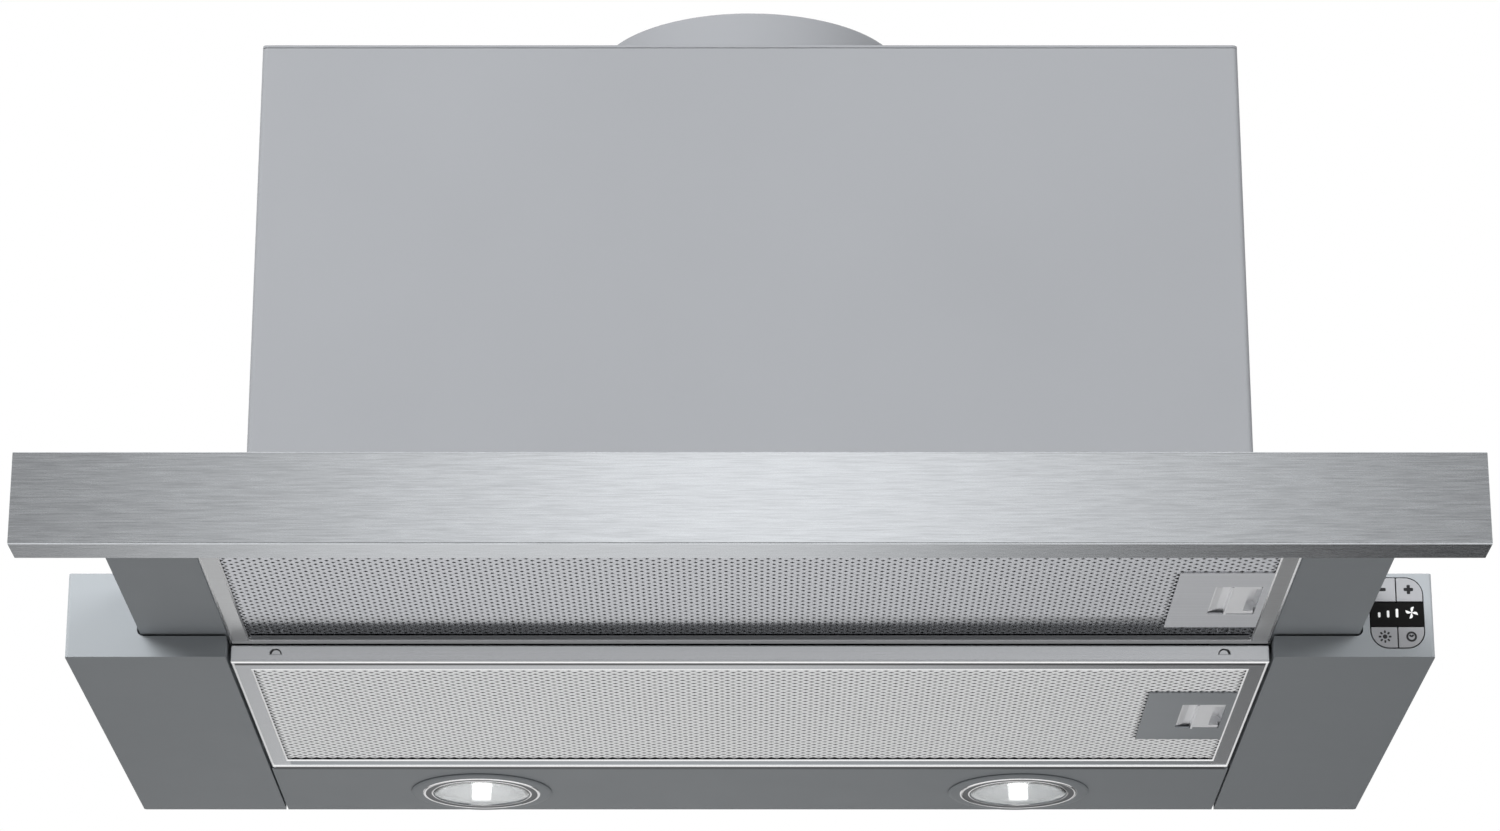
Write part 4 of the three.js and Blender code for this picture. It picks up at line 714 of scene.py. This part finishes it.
def lamp(name):
    """Ring with two bright beads and a ring of painted shade between them, pressed lens and bright reflector.
    """
    low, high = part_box(f"{name}_ring")
    centre = Vector(((low.x + high.x) / 2, (low.y + high.y) / 2, low.z + LAMP_LEVEL))

    def turned(profile):
        return lathe([(r * MM, z * MM) for r, z in profile], LAMP_STEPS, centre)

    looks = [lamp_look(r, z) for r, z in TRIM_PROFILE for _ in range(LAMP_STEPS)]
    trim_metals = [GREY_COAT, HEM_METAL, RECESS_SHADE]
    ring = add_piece(f"{name}_trim", *turned(TRIM_PROFILE), trim_metals, "root", looks, smooth=True)
    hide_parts(f"{name}_ring")
    lens = add_piece(f"{name}_glass", *turned(LENS_PROFILE), [GLASS], "root", smooth=True)
    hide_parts(f"{name}_lens")
    mirror = add_piece(f"{name}_mirror", *turned(MIRROR_PROFILE), [REFLECTOR], "root", smooth=True)
    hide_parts(f"{name}_reflector")


# ---------- Collar ----------

COLLAR_STEPS = 144
COLLAR_RADIUS = 75 * MM
COLLAR_WALL = 2 * MM
FLANGE_SHEET = 1.5 * MM
FLANGE_CHAMFER = 0.4 * MM
COLLAR_FILLET = 1 * MM                   # between flange and wall
TOP_EDGE = (0.6 * MM, 1 * MM)            # width and height of the top edge's chamfer
LEDGE_LEVEL = 19.65 * MM                 # top of the flaps' ledge, above the flange
LEDGE_REACH = 3.5 * MM
LEDGE_EDGE = 1.5 * MM
LEDGE_FOOT = 5 * MM                      # from its top to where its slope meets the wall


def collar():
    """The CAD solid's round collar in finer steps, with a fillet and chamfers."""
    low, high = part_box("exhaust_collar")
    centre = Vector(((low.x + high.x) / 2, (low.y + high.y) / 2, low.z))
    rise = high.z - low.z
    outer, inner, flange = COLLAR_RADIUS, COLLAR_RADIUS - COLLAR_WALL, (high.x - low.x) / 2
    profile = [
        (inner, 0), (flange, 0),
        (flange, FLANGE_SHEET - FLANGE_CHAMFER), (flange - FLANGE_CHAMFER, FLANGE_SHEET),
        (outer + COLLAR_FILLET, FLANGE_SHEET), (outer, FLANGE_SHEET + COLLAR_FILLET),
        (outer, rise - TOP_EDGE[1]), (outer - TOP_EDGE[0], rise),
        (inner, rise), (inner, LEDGE_LEVEL), (inner - LEDGE_REACH, LEDGE_LEVEL),
        (inner - LEDGE_REACH, LEDGE_LEVEL - LEDGE_EDGE), (inner, LEDGE_LEVEL - LEDGE_FOOT),
    ]
    turned = lathe(profile, COLLAR_STEPS, centre)
    piece = add_piece("round_collar", *turned, [CASING_GREY], "root", smooth=True)
    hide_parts("exhaust_collar")


# ---------- Screws ----------

SCREW_STEPS = 24
SCREW_RADIUS = 3.4 * MM
HEAD_HEIGHT = 0.62 * SCREW_RADIUS
RECESS_DEPTH = 0.42 * SCREW_RADIUS
RECESS_REACH = 0.55 * SCREW_RADIUS
RECESS_HALF = 0.13 * SCREW_RADIUS        # half the width of the cross's arms
FLANGE_SCREW_INSET = 6.5 * MM            # to the flange's edge
LID_SCREW_DROP = 5 * MM                  # below the casing's top
LID_SCREW_SHARES = (0.2, 0.8)            # of the casing's depth


def screw(name, place, axis):
    """A pan head with a cross recess. The axis points out of the sheet."""
    steps, radius, height = SCREW_STEPS, SCREW_RADIUS, HEAD_HEIGHT
    rings = [(radius, 0), (radius, 0.45 * height), (0.9 * radius, 0.8 * height), (0.7 * radius, height)]
    points = [Vector((*spot, z)) for r, z in rings for spot in circle(r, steps)]
    faces = [face for j in range(len(rings) - 1) for face in band(j * steps, (j + 1) * steps, steps)]
    faces.append(tuple(reversed(range(steps))))
    quarter = [(RECESS_REACH, -RECESS_HALF), (RECESS_REACH, RECESS_HALF), (RECESS_HALF, RECESS_HALF)]
    cross = [(u * c - v * s, u * s + v * c)
             for c, s in ((1, 0), (0, 1), (-1, 0), (0, -1)) for u, v in quarter]
    first, count = len(points), len(cross)
    points += [Vector((u, v, level)) for level in (height, height - RECESS_DEPTH) for u, v in cross]
    edge = list(range(first - steps, first))
    lip = list(range(first, first + count))
    flat = edge + lip
    faces += [tuple(flat[k] for k in face)
              for face in tessellate_polygon([[points[k] for k in edge], [points[k] for k in lip]])]
    faces += band(first, first + count, count)
    faces.append(tuple(first + count + i for i in range(count)))
    turn = Vector((0, 0, 1)).rotation_difference(Vector(axis)).to_matrix()
    piece = add_piece(name, [turn @ point + Vector(place) for point in points], faces, [RUNNER], "root")


def screws():
    """Four on the collar's flange, and two on each side of the casing under its lid."""
    body_low, body_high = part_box("casing_body")
    flange_low, flange_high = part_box("exhaust_collar")
    middle = (flange_low + flange_high) / 2
    reach = (flange_high.x - flange_low.x) / 2 - FLANGE_SCREW_INSET
    level = flange_low.z + FLANGE_SHEET
    for i in range(4):
        angle = math.pi * (i + 0.5) / 2
        place = (middle.x + reach * math.cos(angle), middle.y + reach * math.sin(angle), level)
        screw(f"collar_screw_{i + 1}", place, (0, 0, 1))
    lid_level = body_high.z - LID_SCREW_DROP
    for name, x, out in (("left", body_low.x, -1), ("right", body_high.x, 1)):
        for i, share in enumerate(LID_SCREW_SHARES):
            y = body_low.y + share * (body_high.y - body_low.y)
            screw(f"{name}_lid_screw_{i + 1}", (x, y, lid_level), (out, 0, 0))


# ---------- Signs on the keys and the display ----------

SIGN_LIFT = 0.06 * MM                    # ink above the key's face, and as far into it
# the rest is in millimetres
STROKE_REACH, STROKE_HALF = 2.1, 0.75    # minus and plus, from their middle
STROKE_ROUND = 0.5
SUN_RADIUS, SUN_STEPS = 1.0, 20
RAYS = 8
CLOCK_RADII = (1.45, 2.35)
HAND_ANGLES = (-50, 50)
BLADES, BLADE_LEAN = 4, -0.35
BLADE_LENGTH, BLADE_BULGE, BLADE_EDGE = 2.9, 1.5, 0.12
LEVEL_STEP, LEVEL_GROWTH = 3.9, 0.8      # from one level bar to the next


def sign(name, shapes, node, body, material, at=(0.0, 0.0)):
    """Flat shapes printed on a key's face. Each is a list of (right, up) points in millimetres."""
    low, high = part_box(node)
    middle = ((low.x + high.x) / 2 + at[0] * MM, (low.z + high.z) / 2 + at[1] * MM)
    face = low.y
    vertices, faces = [], []
    for shape in shapes:
        first, count = len(vertices), len(shape)
        for level in (face - SIGN_LIFT, face + SIGN_LIFT):
            vertices += [(middle[0] + u * MM, level, middle[1] + v * MM) for u, v in shape]
        faces += prism(first, count)
    add_piece(name, vertices, faces, [material], body)


def bar(u0, u1, v0, v1, radius, steps=4):
    """A rectangle with rounded corners."""
    points = []
    for cu, cv, start in ((u1 - radius, v1 - radius, 0), (u0 + radius, v1 - radius, 90),
                          (u0 + radius, v0 + radius, 180), (u1 - radius, v0 + radius, 270)):
        for i in range(steps + 1):
            angle = math.radians(start + 90 * i / steps)
            points.append((cu + radius * math.cos(angle), cv + radius * math.sin(angle)))
    return points


def arc_band(inner, outer, steps=32):
    """A ring as quads, so that no face has a hole."""
    inside, outside = circle(inner, steps), circle(outer, steps)
    return [[outside[i], outside[(i + 1) % steps], inside[(i + 1) % steps], inside[i]] for i in range(steps)]


def fan_blade(steps=12):
    """A blade of the fan sign: straight on one side, and bulging to the other towards its tip."""
    straight = [(BLADE_EDGE, BLADE_LENGTH * i / steps) for i in range(steps + 1)]
    bulge = []
    for i in range(steps - 1, 0, -1):
        growing = 0.45 + 0.55 * i / steps
        width = BLADE_BULGE * math.sin(math.pi * i / steps) ** 0.8 * growing
        bulge.append((BLADE_EDGE - width, BLADE_LENGTH * i / steps))
    return straight + bulge


def rotated(shape, angle):
    c, s = math.cos(angle), math.sin(angle)
    return [(u * c - v * s, u * s + v * c) for u, v in shape]


def signs():
    reach, half, corner = STROKE_REACH, STROKE_HALF, STROKE_ROUND
    minus = [bar(-reach, reach, -half, half, corner)]
    sign("minus_sign", minus, "minus_button", "minus_key", BLACK_INK, (-0.6, 0.1))
    plus = minus + [bar(-half, half, 0.6, reach, corner), bar(-half, half, -reach, -0.6, corner)]
    sign("plus_sign", plus, "plus_button", "plus_key", BLACK_INK, (-0.4, 0.1))
    ray = bar(-0.42, 0.42, 1.6, 2.8, 0.25)
    sun = [circle(SUN_RADIUS, SUN_STEPS)] + [rotated(ray, 2 * math.pi * i / RAYS) for i in range(RAYS)]
    sign("light_sign", sun, "light_button", "light_key", BLACK_INK, (0.2, 0.3))
    hand = bar(-0.4, 0.4, -0.1, 1.2, 0.2)
    clock = arc_band(*CLOCK_RADII) + [rotated(hand, math.radians(angle)) for angle in HAND_ANGLES]
    sign("timer_sign", clock, "timer_button", "timer_key", BLACK_INK, (0.0, 0.3))
    levels = [bar(-8.3 + LEVEL_STEP * i, -7.2 + LEVEL_STEP * i, -1.4, 1.0 + LEVEL_GROWTH * i, 0.5)
              for i in range(3)]
    sign("speed_sign", levels, "display_window", "root", WHITE_INK)
    fan = [rotated(fan_blade(), 2 * math.pi * i / BLADES + BLADE_LEAN) for i in range(BLADES)]
    sign("fan_sign", fan, "display_window", "root", WHITE_INK, (6.5, 0.8))


# ---------- Stage ----------

FLOOR_DROP = 2.3
FLOOR_REACH = 9.0                        # half its side
FLOOR_COLOR = (0.4, 0.4, 0.4, 1)
WORLD_LEVEL = 0.46
LIGHT_TARGET = (0, -0.15, 0.08)
FRONT_CARDS = -1.6                       # Y of the cards before the hood
BACK_CARDS = 1.6                         # and behind it


def see_background(tree, lit):
    """Mixes lit with plain white for rays from the camera, reflections and glass. Returns the shader."""
    path = tree.nodes.new("ShaderNodeLightPath")
    total = path.outputs["Is Camera Ray"]
    for ray in ("Is Glossy Ray", "Is Transmission Ray"):
        add = tree.nodes.new("ShaderNodeMath")
        add.operation = "MAXIMUM"
        tree.links.new(total, add.inputs[0])
        tree.links.new(path.outputs[ray], add.inputs[1])
        total = add.outputs[0]
    white = tree.nodes.new("ShaderNodeBackground" if lit.type == "BACKGROUND" else "ShaderNodeEmission")
    white.inputs["Color"].default_value = (1, 1, 1, 1)
    white.inputs["Strength"].default_value = 1.0
    mix = tree.nodes.new("ShaderNodeMixShader")
    tree.links.new(total, mix.inputs["Fac"])
    tree.links.new(lit.outputs[0], mix.inputs[1])
    tree.links.new(white.outputs[0], mix.inputs[2])
    return mix.outputs[0]


def make_world():
    world = bpy.data.worlds.new("studio")
    world.use_nodes = True
    tree = world.node_tree
    lit = tree.nodes["Background"]
    lit.inputs["Color"].default_value = (1, 1, 1, 1)
    lit.inputs["Strength"].default_value = WORLD_LEVEL
    tree.links.new(see_background(tree, lit), tree.nodes["World Output"].inputs["Surface"])
    bpy.context.scene.world = world


def stage_plane(name, corners):
    """A rectangle of the stage with an empty node material. Returns the object and the material's tree."""
    data = bpy.data.meshes.new(name)
    data.from_pydata(corners, [], [(0, 1, 2, 3)])
    material = bpy.data.materials.new(name)
    material.use_nodes = True
    material.node_tree.nodes.remove(material.node_tree.nodes["Principled BSDF"])
    data.materials.append(material)
    plane = bpy.data.objects.new(name, data)
    bpy.context.scene.collection.objects.link(plane)
    return plane, material.node_tree


def make_floor():
    around = ((-1, -1), (1, -1), (1, 1), (-1, 1))
    _, tree = stage_plane("floor", [(FLOOR_REACH * u, FLOOR_REACH * v, -FLOOR_DROP) for u, v in around])
    plain = tree.nodes.new("ShaderNodeBsdfDiffuse")
    plain.inputs["Color"].default_value = FLOOR_COLOR
    # nothing of the floor shows from below it
    side = tree.nodes.new("ShaderNodeNewGeometry")
    clear = tree.nodes.new("ShaderNodeBsdfTransparent")
    both = tree.nodes.new("ShaderNodeMixShader")
    tree.links.new(side.outputs["Backfacing"], both.inputs["Fac"])
    tree.links.new(see_background(tree, plain), both.inputs[1])
    tree.links.new(clear.outputs[0], both.inputs[2])
    tree.links.new(both.outputs[0], tree.nodes["Material Output"].inputs["Surface"])


def follow(tree, coordinate, stops):
    """A level that follows a coordinate through (place, level) stops."""
    first, last = stops[0][0], stops[-1][0]
    span = tree.nodes.new("ShaderNodeMapRange")
    span.inputs["From Min"].default_value = first
    span.inputs["From Max"].default_value = last
    tree.links.new(coordinate, span.inputs["Value"])
    ramp = tree.nodes.new("ShaderNodeValToRGB")
    elements = ramp.color_ramp.elements
    while len(elements) < len(stops):
        elements.new(0.5)
    for element, (place, level) in zip(elements, stops):
        element.position = (place - first) / (last - first)
        element.color = (level, level, level, 1)
    tree.links.new(span.outputs["Result"], ramp.inputs["Fac"])
    return ramp.outputs["Color"]


def card(name, y, z, across, rising=None):
    """An upright card that only reflections show. Its level follows x by across and z by rising."""
    x = (across[0][0], across[-1][0])
    rising = rising or [(z[0], 1.0), (z[1], 1.0)]
    plane, tree = stage_plane(name, [(x[0], y, z[0]), (x[1], y, z[0]), (x[1], y, z[1]), (x[0], y, z[1])])
    where = tree.nodes.new("ShaderNodeSeparateXYZ")
    tree.links.new(tree.nodes.new("ShaderNodeTexCoord").outputs["Object"], where.inputs["Vector"])
    level = tree.nodes.new("ShaderNodeMath")
    level.operation = "MULTIPLY"
    tree.links.new(follow(tree, where.outputs["X"], across), level.inputs[0])
    tree.links.new(follow(tree, where.outputs["Z"], rising), level.inputs[1])
    glow = tree.nodes.new("ShaderNodeEmission")
    tree.links.new(level.outputs[0], glow.inputs["Strength"])
    tree.links.new(glow.outputs[0], tree.nodes["Material Output"].inputs["Surface"])
    for ray in ("camera", "diffuse", "transmission", "shadow", "volume_scatter"):
        setattr(plane, f"visible_{ray}", False)


def area_light(name, place, size, power):
    """A soft light towards the hood, which reflections don't show."""
    data = bpy.data.lights.new(name, "AREA")
    data.shape = "RECTANGLE"
    data.size, data.size_y = size
    data.energy = power
    light = bpy.data.objects.new(name, data)
    light.location = place
    aim = Vector(LIGHT_TARGET) - Vector(place)
    light.rotation_euler = aim.to_track_quat("-Z", "Y").to_euler()
    bpy.context.scene.collection.objects.link(light)
    light.visible_glossy = False


def make_stage():
    make_world()
    make_floor()
    area_light("key", (-1.6, -2.6, 1.3), (2.0, 1.4), 124)
    area_light("fill", (1.8, -2.4, 0.9), (1.6, 1.2), 40)
    area_light("top_back", (0.8, 2.2, 2.2), (2.0, 1.4), 36)
    card("front_card", FRONT_CARDS, (0.1, 3.2),
         [(-2.2, 0.25), (-0.54, 0.22), (-0.26, 0.66), (0, 1.24), (0.26, 0.69), (0.54, 0.22), (2.2, 0.2)])
    card("low_front_card", FRONT_CARDS, (-2.2, 0.1),
         [(-2.2, 0.5), (-0.4, 0.66), (0, 0.74), (0.4, 0.86), (2.2, 0.8)],
         [(-2.2, 0.7), (-0.45, 0.8), (-0.33, 1.0), (0.1, 1.0)])
    card("shade_card", -1.5, (-1.9, -0.5), [(-0.8, 0.03), (0.8, 0.03)])
    card("high_back_card", BACK_CARDS, (-0.34, 0.15),
         [(-2.2, 0.5), (-0.3, 0.76), (0.34, 0.76), (0.6, 0.3), (2.2, 0.3)])
    card("back_card", BACK_CARDS, (-1.35, -0.34),
         [(-2.2, 0.12), (-0.7, 0.18), (-0.34, 0.72), (0, 0.76), (0.33, 0.2), (0.6, 0.02), (2.2, 0.05)])


make_camera()
dress_nodes()
for unit in ("front_filter", "rear_filter"):
    filter_mesh(unit)
    hems(unit)
for unit in ("left_lamp", "right_lamp"):
    lamp(unit)
for direction in (-1, 1):
    dimple_tab(direction)
shade_strips()
collar()
screws()
signs()
make_stage()
bpy.context.scene.view_settings.view_transform = "Standard"
